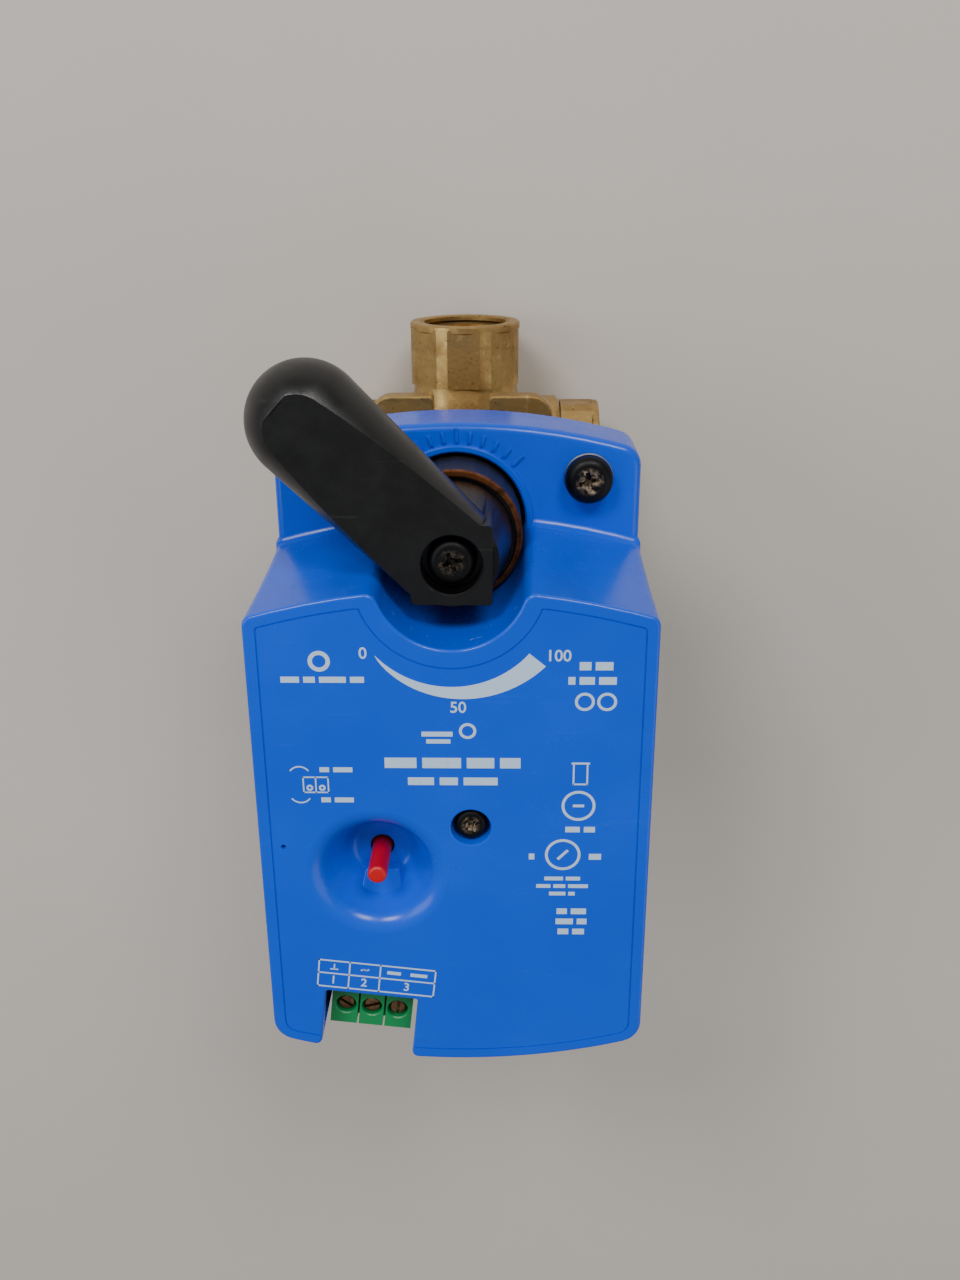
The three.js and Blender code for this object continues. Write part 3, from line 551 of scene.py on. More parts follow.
def forged_brass(tree, place):
    """Forged brass, grit-blasted and machined at its ends: dull yellow with brown tarnish and small dark pits."""
    cloud = patches(tree, spaced(place, 7, 7.0, 0.62), (0.38, 0.0), (0.68, 1.0))
    bright = patches(tree, spaced(place, 2.2, 5.0, 0.7), (0.58, 0.0), (0.7, 0.6))
    pits = patches(tree, spaced(place, 0.9, 3.0, 0.6), (0.27, 1.0), (0.36, 0.0))
    body = layered(tree, tint("brass"), (cloud, linear("#98794A")), (bright, linear("#DCC08A")),
                   (pits, linear("#4C3A20")))
    gloss = add(tree, "ShaderNodeValToRGB", {"Fac": cloud}, ((0.0, 0.36), (1.0, 0.56)))
    blasted = add(tree, "ShaderNodeTexNoise", spaced(place, 0.8, 6.0, 0.6))
    surfaced(tree, body, gloss, blasted, 0.45, 0.12, Metallic=1.0)


def board_laminate(tree, place):
    """Glass-epoxy laminate under solder mask: green with the weave of the cloth showing."""
    weave = add(tree, "ShaderNodeTexChecker", {"Vector": place, "Scale": 1 / (0.6 * MM)}).outputs["Fac"]
    surfaced(tree, layered(tree, linear("#174F30"), (weave, linear("#1D5C39"))), 0.38, weave, 0.2, 0.02)


def print_ink(tree, place):
    """Pad-printed ink: a thin pale film, slightly worn and matt."""
    worn = patches(tree, spaced(place, 1.5, 6.0, 0.7), (0.62, 0.0), (0.75, 0.55))
    film = add(tree, "ShaderNodeTexNoise", spaced(place, 0.4))
    surfaced(tree, layered(tree, tint("ink"), (worn, linear("#6E9CDD"))), 0.5, film, 0.1, 0.02)


def floor_paint(tree, place):
    """Matt painted board: plain and pale, with a barely visible mottle."""
    base = tint("floor")
    mottle = add(tree, "ShaderNodeTexNoise", spaced(place, 60, 4.0))
    roller = add(tree, "ShaderNodeTexNoise", spaced(place, 1.5, 4.0))
    surfaced(tree, layered(tree, shaded(base, 0.94), (mottle, base)), 0.6, roller, 0.1, 0.1)


# Each finish: its material's name, the record's slot that it belongs to, the function that makes it
# and that function's settings. A colour is a name among the colours above, or an sRGB hex value.
FINISHES = {
    "cover": ("azure_abs_moulded", "azure_abs", azure_abs),
    # Spark-eroded ABS: a dark grey skin with an even fine grain.
    "tray": ("charcoal_abs_spark_eroded", "charcoal_abs", moulded, "tray", 0.5, 0.65, 0.35, 0.5, 0.1),
    # Glass-filled nylon: near black, satin, with a fine fibre grain and pale scratches.
    "lever": ("black_nylon_moulded", "black_nylon", moulded, "lever", 0.3, 0.42, 0.3, 0.3, 0.15, 0.4),
    # Moulded acetal: black and smooth, dulled by dust.
    "sleeve": ("black_acetal_moulded", "black_nylon", moulded, "#101114", 0.45, 0.6, 0.6, 0.15, 0.2),
    # The cover's screws stand in the open and have rusted. The lever's is only dusty.
    "black_screw": ("black_oxide_steel_corroded", "black_screw_steel", black_oxide, 1.0),
    "lever_screw": ("black_oxide_steel_dusty", "black_screw_steel", black_oxide, 0.3),
    # Zinc-plated steel: pale grey with a soft bluish bloom.
    "zinc": ("zinc_steel_plated", "zinc_steel", metal, "#B9BCBF", "#8D9194", 0.3, 0.5, 6.0),
    # Drawn spring wire: bright grey with a fine tooth.
    "spring": ("spring_steel_drawn", "spring_steel", metal, "#9DA0A3", "#6F7275", 0.25, 0.4, 2.0, 0.2),
    # Sintered steel: mid grey with fine open pores.
    "gear": ("gear_steel_sintered", "gear_steel", metal, "#9A9C9E", "#77797B", 0.35, 0.5, 3.0, 0.15, 0.4),
    # Turned stainless steel: bright with a very fine tooth.
    "stainless": ("stainless_steel_turned", "stainless_steel", metal, "#C2C4C5", "#A2A4A6", 0.18, 0.32, 5.0, 0.12, 0.3),
    "brass": ("brass_forged", "forged_brass", forged_brass),
    # Plated brass: tarnished brown, with brighter patches.
    "terminal_screw": ("terminal_screw_brass", "brass_screw", metal, "#A5825F", "#5F4432", 0.35, 0.6, 1.2, 0.3, 0.3),
    # Worn bronze: coppery where it is rubbed, brown elsewhere.
    "bronze": ("bronze_worn", "copper_bronze", metal, "#9A5F3A", "#3A2519", 0.35, 0.6, 2.0, 0.4, 0.35),
    # Hard chrome over brass: nearly a mirror, with faint haze.
    "chrome": ("brass_hard_chromed", "chromed_brass", metal, "#D4D6D8", "#BFC2C4", 0.06, 0.14, 8.0, 1.0, 0.02),
    # Moulded nylon: a saturated red with a waxy sheen.
    "button": ("red_nylon_moulded", "red_nylon", moulded, "button", 0.32, 0.45, 0.5, 0.15, 0.15),
    # Moulded polyamide: a clear green, slightly glossy.
    "terminal": ("green_polyamide_moulded", "green_polyamide", moulded, "terminal", 0.34, 0.48, 0.5, 0.12, 0.2),
    "board": ("board_laminate_masked", "board_laminate", board_laminate),
    # Moulded epoxy of a chip: matt black with a fine tooth.
    "epoxy": ("black_epoxy_moulded", "black_epoxy", moulded, "#17181A", 0.5, 0.65, 0.2, 0.5, 0.05),
    # Shrunk film on a capacitor: dark and glossy.
    "film": ("shrink_film_black", "black_sleeve", moulded, "#1B1D22", 0.2, 0.3, 2.0, 0.1, 0.05),
    # Moulded acetal: a milky white, slightly waxy.
    "acetal": ("white_acetal_moulded", "white_acetal", moulded, "#E4E0D4", 0.35, 0.5, 0.6, 0.1, 0.0, 0.95),
    # Turned PTFE: matt white with a soft tooth.
    "ptfe": ("white_ptfe_turned", "white_ptfe", moulded, "#EEEDE8", 0.45, 0.6, 0.3, 0.2, 0.0, 0.96),
    # Moulded EPDM rubber: soft black with no shine.
    "rubber": ("epdm_rubber_moulded", "seal_rubber", moulded, "#1C1C1C", 0.7, 0.85, 0.5, 0.3, 0.0),
    "ink": ("pad_print_ink", "azure_abs", print_ink),
    "floor": ("matt_painted_floor", "", floor_paint),
}
_made = {}


def material(finish):
    """A finish's material, made once."""
    if finish not in _made:
        name, _, build, *settings = FINISHES[finish]
        made = bpy.data.materials.new(name)
        made.use_nodes = True
        made.node_tree.nodes.clear()
        place = add(made.node_tree, "ShaderNodeTexCoord").outputs["Object"]
        build(made.node_tree, place, *settings)
        _made[finish] = made
    return _made[finish]


# ---- Cover ----

def bowed(apex, x, way=1):
    """A bowed edge that falls away from its apex, or that rises from it with a way of -1."""
    return apex - way * x * x / (2 * BOW_RADIUS)


def low_edge(x, inset=0.0):
    """The bowed lower edge of the cover."""
    return bowed(BOTTOM_Y + inset, x, -1)


def on_notch(across, along):
    """A point given across and along the terminal notch, from the terminal block's centre."""
    turn = Matrix.Rotation(TERMINAL_TURN, 2)
    return Vector(TERMINAL.xy) + turn @ Vector((across, along))


def notch_foot(across):
    """Where a side of the notch runs out through the lower edge."""
    along = -7.0
    for _ in range(6):
        point = on_notch(across, along)
        along += low_edge(point.x) - point.y
    return on_notch(across, along)


def face_outline(inset, crease, well, corner, notch=True, shoulder=2.2, edge_corner=2.0):
    """The raised field seen from the front: bowed ends, the well's U in the top edge and the terminal notch."""
    sizes = sizes_of("cover")
    side = HALF_WIDTH - inset
    top = crease - inset
    margin, head = 7.0, 6.6
    corners = [(-side, low_edge(side, inset), corner)]
    half = sizes.notch / 2
    left, right = notch_foot(-half), notch_foot(half)
    if notch:
        near = -side + 5.2
        corners.append((near, low_edge(near, inset), 0))
        corners += [(*left, 1.2), (*on_notch(-half, head), 0.6), (*on_notch(half, head), 0.6), (*right, 1.2)]
        first = right.x + 3
    else:
        first = -side + margin
    steps = 14
    for i in range(steps + 1):
        x = first + (side - margin - first) * i / steps
        corners.append((x, low_edge(x, inset), 0))
    corners.append((side, low_edge(side, inset), corner))
    corners.append((side, bowed(top, side), edge_corner))
    far = well + 6
    for x in (side - 5, (side - 5 + far) / 2, far):
        corners.append((x, bowed(top, x), 0))
    corners.append((well + 0.1, bowed(top, well), shoulder))
    corners += [(x, y, 0) for x, y in arc(0, 0, well, -20, -160, 36)]
    corners.append((-well - 0.1, bowed(top, well), shoulder))
    for x in (-far, -(side - 5 + far) / 2, -side + 5):
        corners.append((x, bowed(top, x), 0))
    corners.append((-side, bowed(top, side), edge_corner))
    return rounded(corners)


def shelf_outline(inset, corner=4.2):
    """The lower shelf seen from the front, running on under the raised field."""
    side = HALF_WIDTH - 0.4 - inset
    top = TOP_Y - inset
    foot = -24.0
    corners = [(-side, foot, 0), (side, foot, 0), (side, bowed(top, side), corner)]
    for i in range(13):
        x = (side - 6) * (1 - i / 6)
        corners.append((x, bowed(top, x), 0))
    corners.append((-side, bowed(top, side), corner))
    return rounded(corners)


def face_block():
    """The raised field with its leaning step wall, a soft crease at its foot and a rounded rim."""
    sizes = sizes_of("cover")
    edge, corner, crease, lean, hub = sizes.edge, sizes.corner, sizes.crease, sizes.lean, sizes.hub
    rise = FACE_Z - SHELF_Z
    fillet = 1.8
    levels = [(SKIRT_Z + 0.05, face_outline(0, crease + fillet, hub, corner))]
    for i in range(6):
        angle = math.pi / 2 * i / 5
        out = fillet * (1 - math.sin(angle))
        height = SHELF_Z - 0.05 + fillet * (1 - math.cos(angle))
        levels.append((height, face_outline(0, crease + out, hub, corner)))
    for share in (0.25, 0.5, 0.75, 1.0):
        hollow = 0.35 * math.sin(math.pi * share)
        leaned = crease - lean * share - hollow
        levels.append((SHELF_Z + rise * share, face_outline(0, leaned, hub, corner)))
    bm = lofted(levels)
    return rounded_edges(bm, rim(bm, FACE_Z), edge, 5)


def shelf_block():
    """The shelf, its rounded outer edge and the hub's hole with a low lip round it."""
    hub = sizes_of("cover").hub
    bm = prism(shelf_outline(0), SKIRT_Z, SHELF_Z)
    rounded_edges(bm, rim(bm, SHELF_Z), 1.5, 4)
    hole = rod(hub + 0.05, SKIRT_Z - 1, SHELF_Z + 1)
    lip_top = SHELF_Z + 0.8
    outer = hub + 1.5
    lip = spun([
        (hub + 0.02, SHELF_Z - 1), (outer, SHELF_Z - 1), (outer, SHELF_Z + 0.2), (outer - 0.15, lip_top - 0.2),
        (outer - 0.4, lip_top), (hub + 0.35, lip_top), (hub + 0.02, lip_top - 0.35)])
    return joined(cut(bm, hole), lip)


def scale_marks():
    """Eleven raised marks round the hub, nine degrees apart, the first, middle and last a little longer."""
    hub = sizes_of("cover").hub
    marks = []
    for i in range(11):
        far = 17.6 if i % 5 == 0 else 16.9
        mark = block((hub + 1.9, -0.3, SHELF_Z - 0.5), (far, 0.3, SHELF_Z + 0.5))
        rounded_edges(mark, rim(mark, SHELF_Z + 0.5), 0.15, 2)
        marks.append(set_at(mark, 0, 0, math.radians(45 + i * 9)))
    return marks


def cover_room():
    """The hollow of the cover, which leaves the walls of the well, the dish and the sunk screw standing."""
    sizes = sizes_of("cover")
    wall, hub = sizes.wall, sizes.hub
    crease = sizes.crease - sizes.lean
    field = prism(face_outline(wall, crease, hub + wall, 3.0, False), SKIRT_Z - 1, FACE_Z - wall)
    shelf = prism(shelf_outline(wall, 2.5), SKIRT_Z - 1.1, SHELF_Z - wall)
    tube = rod(hub + wall, SHELF_Z - wall, FACE_Z)
    bowl = sizes.dish + 1
    floor = FACE_Z - sizes.dish_depth - wall
    dish = spun([(0, floor), (8.5, floor), (bowl + wall, FACE_Z), (0, FACE_Z)], BUTTON.x, BUTTON.y)
    well = rod(5.5, COVER_SEAT - wall, FACE_Z, COVER_SCREW.x, COVER_SCREW.y)
    return cut(joined(field, shelf), tube, dish, well)


def dish_cutter():
    """The finger dish: a flat floor, a steep curved wall and a soft rim that runs out into the face."""
    sizes = sizes_of("cover")
    radius, floor = sizes.dish, FACE_Z - sizes.dish_depth
    foot = 5.6
    profile = [(0, floor), (foot - 1.2, floor)]
    profile += arc(foot - 1.2, floor + 2.2, 2.2, -80, -25, 4)
    profile += arc(radius + 2.4, FACE_Z - 3.6, 3.6, 160, 92, 7)
    profile += [(radius + 2.4, FACE_Z + 1), (0, FACE_Z + 1)]
    return spun(profile, BUTTON.x, BUTTON.y, 72)


def thumb_ramp():
    """A ramp on the lower wall of the dish that the thumb slides down to the button."""
    floor = FACE_Z - sizes_of("cover").dish_depth
    outline = rounded([(-3.2, -3.6, 0.8), (-4.6, -10.5, 0), (4.6, -10.5, 0), (3.2, -3.6, 0.8)], 3)
    bm = prism(outline, floor - 1, floor + 5.2)
    top = [v for v in bm.verts if v.co.z > floor]
    for vert in top:
        vert.co.z -= 2.6 * (vert.co.y + 10.5) / 6.9
    rounded_edges(bm, [e for e in bm.edges if all(v in top for v in e.verts)], 0.5, 2)
    return set_at(bm, BUTTON.x, BUTTON.y)


def label_groove():
    """A thin groove just inside the rim, round the printed field."""
    sizes = sizes_of("cover")
    inset, width, depth = 2.2, sizes.groove, 0.22
    crease = sizes.crease - sizes.lean
    around = sizes.hub + 3.2
    outer = prism(face_outline(inset, crease, around, 2.6, False, 1.4, 0.8), FACE_Z - depth, FACE_Z + 1)
    inner = prism(face_outline(inset + width, crease, around + width, 2.4, False, 1.2, 0.6), FACE_Z - 1, FACE_Z + 2)
    return cut(outer, inner)


def cover_shell():
    """The whole blue cover."""
    sizes = sizes_of("cover")
    half = sizes.notch / 2
    left, right = notch_foot(-half).x - 1, notch_foot(half).x + 1
    sill_top, well, mouth, dimple = 66, 3.5, 4.0, (-30.8, -51.3)
    xs = [left + (right - left) * i / 6 for i in range(7)]
    sill = prism([(x, low_edge(x, 0.05)) for x in xs] + [(x, low_edge(x, 1.8)) for x in reversed(xs)],
                 SKIRT_Z + 0.1, sill_top)
    body = joined(face_block(), shelf_block(), sill, *scale_marks())
    sunk = spun([(0, COVER_SEAT), (well, COVER_SEAT), (well, FACE_Z - 0.5), (well + 0.15, FACE_Z - 0.15),
                 (mouth, FACE_Z + 0.01), (mouth, FACE_Z + 1), (0, FACE_Z + 1)], COVER_SCREW.x, COVER_SCREW.y, 48)
    shank = rod(1.8, 60, 90, COVER_SCREW.x, COVER_SCREW.y, 24)
    mark = rod(0.45, FACE_Z - 2.5, FACE_Z + 1, *dimple, 16)
    body = cut(body, cover_room(), sunk, shank, mark, dish_cutter(), label_groove())
    body = joined(body, thumb_ramp())
    hole = rod(SCREW_HOLE, 70, 90, BUTTON.x, BUTTON.y, 32)
    screws = [rod(SCREW_HOLE, 40, 60, side * SHELF_SCREW.x, SHELF_SCREW.y, 32) for side in (-1, 1)]
    return cut(body, hole, *screws)


class ACTUATOR_OT_cover(bpy.types.Operator):
    """Build the moulded cover"""
    bl_idname = "actuator.cover"
    bl_label = "Cover"

    def execute(self, context):
        finished(cover_shell(), "cover_shell", "housing", "cover", ["cover"], 30)
        return {"FINISHED"}


# ---- Print on the face ----

def bar(x, y, width, height, turn=0.0):
    """A printed bar with its centre at a place on the face."""
    bm = block((-width / 2, -height / 2, PRINT_LOW), (width / 2, height / 2, PRINT_HIGH))
    return set_at(bm, x, y, turn)


def printed_ring(x, y, radius, width):
    """A printed ring of a line's width inside a radius."""
    return hoop(radius - width, radius, PRINT_LOW, PRINT_HIGH, x, y, 40)


def dashes(x, y, widths, height, space=0.7):
    """A row of plain dashes centred at a place, where a line of lettering would be."""
    total = sum(widths) + space * (len(widths) - 1)
    left = x - total / 2
    row = []
    for width in widths:
        row.append(bar(left + width / 2, y, width, height))
        left += width + space
    return row


def numeral(text, x, y, size, turn=0.0):
    """A number on the scale or at a terminal, as a thin solid."""
    curve = bpy.data.curves.new("numeral", "FONT")
    curve.body = text
    curve.size = size
    curve.align_x = "CENTER"
    curve.align_y = "CENTER"
    curve.extrude = (PRINT_HIGH - PRINT_LOW) / 2
    curve.offset = size * 0.012
    bm = evaluated(linked("numeral", curve))
    bmesh.ops.remove_doubles(bm, verts=bm.verts, dist=1e-4)
    return set_at(bm, x, y, turn, (PRINT_LOW + PRINT_HIGH) / 2)


def scale_wedge():
    """The crescent under the hub that widens from 0 to 100."""
    low, radius, start, end, steps = -2.4, 17.3, 222, 320, 28
    points = arc(0, low, radius, start, end, steps)
    for i in range(steps + 1):
        share = i / steps
        angle = math.radians(end - (end - start) * share)
        out = radius + 0.05 + 3.6 * (1 - share) ** 0.75
        points.append((out * math.cos(angle), low + out * math.sin(angle)))
    return prism(points, PRINT_LOW, PRINT_HIGH)


def wiring_table():
    """The frame over the terminals: three columns, two rows, and the terminal numbers."""
    width, height, line = 22.0, 5.9, 0.28
    columns = (0.0, 5.8, 11.6, width)
    bars = [(width / 2, v, width + line, line) for v in (0.0, -height / 2 + 0.1, -height)]
    bars += [(u, -height / 2, line, height + line) for u in columns]
    # An earth sign, a wave sign and two dashes.
    bars += [(2.9, -1.85, 1.5, 0.25), (2.9, -1.25, 0.25, 1.2)]
    bars += [(8.7 + x, -1.4, 0.75, 0.25, lean) for x, lean in ((-0.45, 0.5), (0.0, -0.5), (0.45, 0.5))]
    bars += [(14.2, -1.45, 2.6, 0.7), (18.9, -1.45, 3.2, 0.7)]
    slant = Matrix.Rotation(TERMINAL_TURN, 2)

    def on_table(u, v):
        return Vector((-25.6, -75.6)) + slant @ Vector((u, v))

    shapes = [bar(*on_table(u, v), across, along, TERMINAL_TURN + sum(lean)) for u, v, across, along, *lean in bars]
    for i, (left, right) in enumerate(zip(columns, columns[1:])):
        shapes.append(numeral(str(i + 1), *on_table((left + right) / 2, -height * 0.74), 2.5, TERMINAL_TURN))
    return shapes


def mode_diagram():
    """A small plain diagram of the two-pin selector with a turn arrow above and below it."""
    shapes = []
    for sign, y in ((1, -35.6), (-1, -41.6)):
        points = arc(-27.0, y - sign * 1.4, 2.1, 35 * sign, 145 * sign, 10)
        inner = arc(-27.0, y - sign * 1.4, 1.85, 145 * sign, 35 * sign, 10)
        shapes.append(prism(points + inner, PRINT_LOW, PRINT_HIGH))
        shapes += dashes(-20.5, y, (1.7, 3.4), 0.95)
    for x in (-26.4, -24.2, -22.0):
        shapes.append(bar(x, -38.6, 0.25, 3.2))
    for y in (-37.1, -40.1):
        shapes.append(bar(-24.2, y, 4.65, 0.25))
    for x in (-25.3, -23.1):
        shapes.append(printed_ring(x, -39.2, 0.6, 0.35))
    return shapes


# Plain marks in place of names, ratings and signs: numbers as (text, x, y, size), rings as (x, y, radius,
# width), bars as (x, y, width, height, turn) and rows of dashes as (x, y, widths, height, space).
FACE_NUMERALS = (("0", -14.9, -13.6, 2.9), ("50", 1.1, -23.6, 2.9), ("100", 18.2, -14.0, 2.9))
FACE_RINGS = (
    (-22.4, -15.0, 1.9, 0.75), (22.8, -22.4, 1.7, 0.5), (26.6, -22.4, 1.7, 0.5), (2.7, -28.0, 1.5, 0.5),
    (22.2, -42.6, 3.0, 0.5), (19.6, -52.6, 3.2, 0.5),
)
FACE_BARS = (
    (22.4, -34.2, 3.2, 0.35), (21.2, -36.4, 0.3, 4.0), (23.6, -36.4, 0.3, 4.0), (22.4, -38.3, 2.5, 0.3),
    (22.2, -42.6, 2.0, 0.5), (19.6, -52.6, 2.6, 0.5, 0.8), (14.0, -53.0, 1.0, 1.2), (25.4, -53.0, 2.2, 1.2),
)
FACE_DASHES = (
    (-22, -18.4, (3.2, 2.0, 4.6, 2.4), 1.1), (24.6, -15.8, (2.0, 3.0), 1.5), (24.0, -18.5, (1.2, 2.6, 3.0), 1.4),
    (-2.6, -28.6, (5.4,), 0.9), (-2.4, -30.0, (4.2,), 0.8),
    (0, -34.2, (5.6, 6.8, 4.8, 3.6), 2.0, 1.0), (0, -37.8, (4.6, 3.2, 6.0), 1.5, 1.0),
    (22.6, -47.4, (2.6, 2.0), 1.1), (19.6, -57.6, (3.4, 2.6), 0.75, 0.5), (19.6, -59.2, (2.6, 2.2, 3.6), 0.75, 0.5),
    (19.6, -60.8, (3.0, 1.2), 0.75, 0.5), (21.4, -64.6, (1.9, 2.8), 1.2), (21.4, -66.8, (3.2, 1.8), 1.2),
    (21.4, -69.0, (2.0, 2.2), 1.2),
)


def face_print():
    """Everything printed on the face, with plain shapes where names and ratings would be."""
    shapes = [scale_wedge(), *wiring_table(), *mode_diagram()]
    shapes += [numeral(*row) for row in FACE_NUMERALS]
    shapes += [printed_ring(*row) for row in FACE_RINGS]
    shapes += [bar(*row) for row in FACE_BARS]
    for row in FACE_DASHES:
        shapes += dashes(*row)
    return merged(*shapes)


class ACTUATOR_OT_face_print(bpy.types.Operator):
    """Print the scale, the wiring table and plain marks on the face"""
    bl_idname = "actuator.face_print"
    bl_label = "Face print"

    def execute(self, context):
        finished(face_print(), "face_print", "housing", "ink")
        return {"FINISHED"}


# ---- Screws ----

def cross_recess(reach, depth, top):
    """A cutter for a cross recess that narrows to a point."""
    arms = []
    for turn in (0, 90):
        arm = block((-reach, -reach * 0.17, top - depth), (reach, reach * 0.17, top + 1))
        for vert in arm.verts:
            if vert.co.z < top:
                vert.co.x *= 0.35
        arms.append(set_at(arm, 0, 0, math.radians(turn)))
    core = spun([(0, top - depth * 1.15), (reach * 0.42, top + 0.01), (reach * 0.42, top + 1), (0, top + 1)], steps=16)
    return joined(arms[0], arms[1], core)


def pan_screw(node, head, height, shank, turn=0.0):
    """A pan-headed cross-recess screw that stands where its CAD node stands."""
    low, high, centre = node_box(node)
    top, seat = high.z, high.z - height
    profile = [(0, low.z), (shank * 0.5, low.z + 0.3), (shank, low.z + shank), (shank, seat), (head, seat)]
    for i in range(9):
        angle = math.radians(90 * i / 8)
        profile.append((head * (0.62 + 0.38 * math.cos(angle)), seat + height * (0.42 + 0.58 * math.sin(angle))))
    profile.append((0, top))
    body = cut(spun(profile, steps=56), cross_recess(head * 0.56, height * 0.62, top))
    body = softened(body, 0.07, 40)
    recess = body.verts.layers.float.new("recess")
    for vert in body.verts:
        vert[recess] = float(vert.co.xy.length < head * 0.6 and vert.co.z > seat)
    return set_at(body, centre.x, centre.y, turn)


def washer(node):
    """A punched washer with rounded edges."""
    low, high, centre = node_box(node)
    outer = (high.x - low.x) / 2
    inner = 2.35
    soft = 0.18
    profile = [(inner, low.z + soft), (inner + soft, low.z), (outer - soft, low.z), (outer, low.z + soft),
               (outer, high.z - soft), (outer - soft, high.z), (inner + soft, high.z), (inner, high.z - soft)]
    return spun(profile, centre.x, centre.y, 56)


class ACTUATOR_OT_cover_fasteners(bpy.types.Operator):
    """Build the screws and washers that hold the cover"""
    bl_idname = "actuator.cover_fasteners"
    bl_label = "Cover fasteners"

    def execute(self, context):
        for side, turn in (("left", 0.5), ("right", 0.25)):
            washed = f"shelf_washer_{side}"
            finished(washer(washed), f"{washed}_punched", "housing", "zinc", [washed])
            node = f"shelf_screw_{side}"
            finished(pan_screw(node, 4.5, 3.0, 2.0, turn), f"{node}_pan", "housing", "black_screw", [node])
        screw = pan_screw("cover_screw", 3.1, COVER_HEAD, 1.5, 0.7)
        finished(screw, "cover_screw_pan", "housing", "black_screw", ["cover_screw"])
        return {"FINISHED"}


# ---- Lever and ring ----

def handle(sizes, top):
    """The tapered, ball-ended handle along +X, leaning down as it goes out, before its flat is cut."""
    reach, ball, root = sizes.reach, sizes.ball, sizes.root
    root_z, grip_z = top - 3.7, top - 9.6
    rise = root_z - grip_z
    span = math.hypot(reach, rise)
    soft = 1.0
    profile = [(0, 0), (root - soft, 0)] + arc(root - soft, soft, soft, -60, 0, 3)
    profile += arc(0, span, ball, 0, 84, 16) + [(0, span + ball)]
    bm = spun(profile, steps=88)
    tip_down = math.pi / 2 + math.atan2(rise, reach)
    return moved(bm, Matrix.Translation((0, 0, root_z)) @ Matrix.Rotation(tip_down, 4, "Y"))


def lever_body(sizes):
    """The lever: the handle cut flat on top, the square hub with its skirt, the tenon and the screw's hole."""
    top = LEVER_TOP
    low = RING_HIGH.z + GAP
    flat, half, bore = sizes.flat, sizes.hub, sizes.bore
    shaft, collar, tenon_half, tenon_foot, shank = 10.6, 14.4, 4.6, 60.3, 2.8
    slope = math.atan2(1.0, flat)
    along = Matrix.Rotation(LEVER_TURN, 4, "Z")
    cutter = block((-20, -20, 0), (flat, 20, 20))
    moved(cutter, along @ Matrix.Translation((0, 0, top)) @ Matrix.Rotation(slope, 4, "Y"))
    under = block((-20, -30, 0), (13, 30, low))
    arm = moved(cut(handle(sizes, top), under), along)
    square = rounded([(-half, -half, 0.7), (half, -half, 0.7), (half, half, 0.7), (-half, half, 0.7)], 3)
    hub = prism(square, low, top + 1)
    ring_z = RING_LOW.z
    skirt = spun([(0, ring_z), (shaft, ring_z), (shaft, low + 0.4), (8.2, top - 2.5), (0, top - 2.5)])
    tenon = block((-tenon_half, -tenon_half, tenon_foot), (tenon_half, tenon_half, top - 8))
    seat = node_box("lever_screw")[1].z - LEVER_HEAD - GAP
    sunk = spun([(0, seat), (bore, seat), (bore, top - 0.35), (bore + 0.35, top + 0.01), (bore + 0.35, top + 2),
                 (0, top + 2)])
    hole = rod(shank, 50, top, steps=32)
    clear = hoop(shaft, collar, ring_z - 3, low)
    body = cut(joined(arm, hub, skirt, tenon), cutter, sunk, hole, clear)
    return softened(body, 0.22, 32)


class ACTUATOR_OT_lever(bpy.types.Operator):
    """Build the hand lever, its screw and the worn ring"""
    bl_idname = "actuator.lever"
    bl_label = "Lever"

    def execute(self, context):
        finished(lever_body(sizes_of("lever")), "lever_handle", "lever_assembly", "lever", ["lever"], 30)
        screw = pan_screw("lever_screw", 4.3, LEVER_HEAD, 2.5, 0.35)
        finished(screw, "lever_screw_pan", "lever_assembly", "lever_screw", ["lever_screw"])
        inner, outer = 11.2, RING_HIGH.x
        low, high = RING_LOW.z, RING_HIGH.z
        ring = spun([(inner, low), (outer, low), (outer, high - 0.3), (outer - 0.1, high - 0.08), (outer - 0.35, high),
                     (inner + 0.1, high), (inner, high - 0.1)], steps=96)
        finished(ring, "sleeve_ring_worn", "lever_assembly", "bronze", ["sleeve_ring"])
        return {"FINISHED"}


# ---- Release button ----

class ACTUATOR_OT_release_button(bpy.types.Operator):
    """Build the red release button and the spring under its flange"""
    bl_idname = "actuator.release_button"
    bl_label = "Release button"

    def execute(self, context):
        low, high, centre = node_box("release_button")
        radius, tail, flange, flange_top, round_off = 1.8, 1.3, 4.0, FACE_Z - 12.3, 0.75
        flange_foot, shoulder = flange_top - 2.5, high.z - round_off
        profile = [(0, low.z), (1.1, low.z), (tail, low.z + 0.3), (tail, flange_foot), (flange, flange_foot),
                   (flange, flange_top), (radius, flange_top), (radius, shoulder)]
        profile += arc(radius - round_off, shoulder, round_off, 18, 90, 4) + [(0, high.z)]
        button = spun(profile, centre.x, centre.y, 48)
        finished(button, "release_peg", "release", "button", ["release_button"])
        low, high, _ = node_box("release_spring")
        spring = coiled(3.0, SPRING_WIRE, low.z + SPRING_WIRE, high.z - SPRING_WIRE, 6)
        set_at(spring, centre.x, centre.y)
        piece = finished(spring, "release_coil", "housing", "spring", ["release_spring"])
        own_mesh(piece)
        return {"FINISHED"}


# ---- Terminal block ----

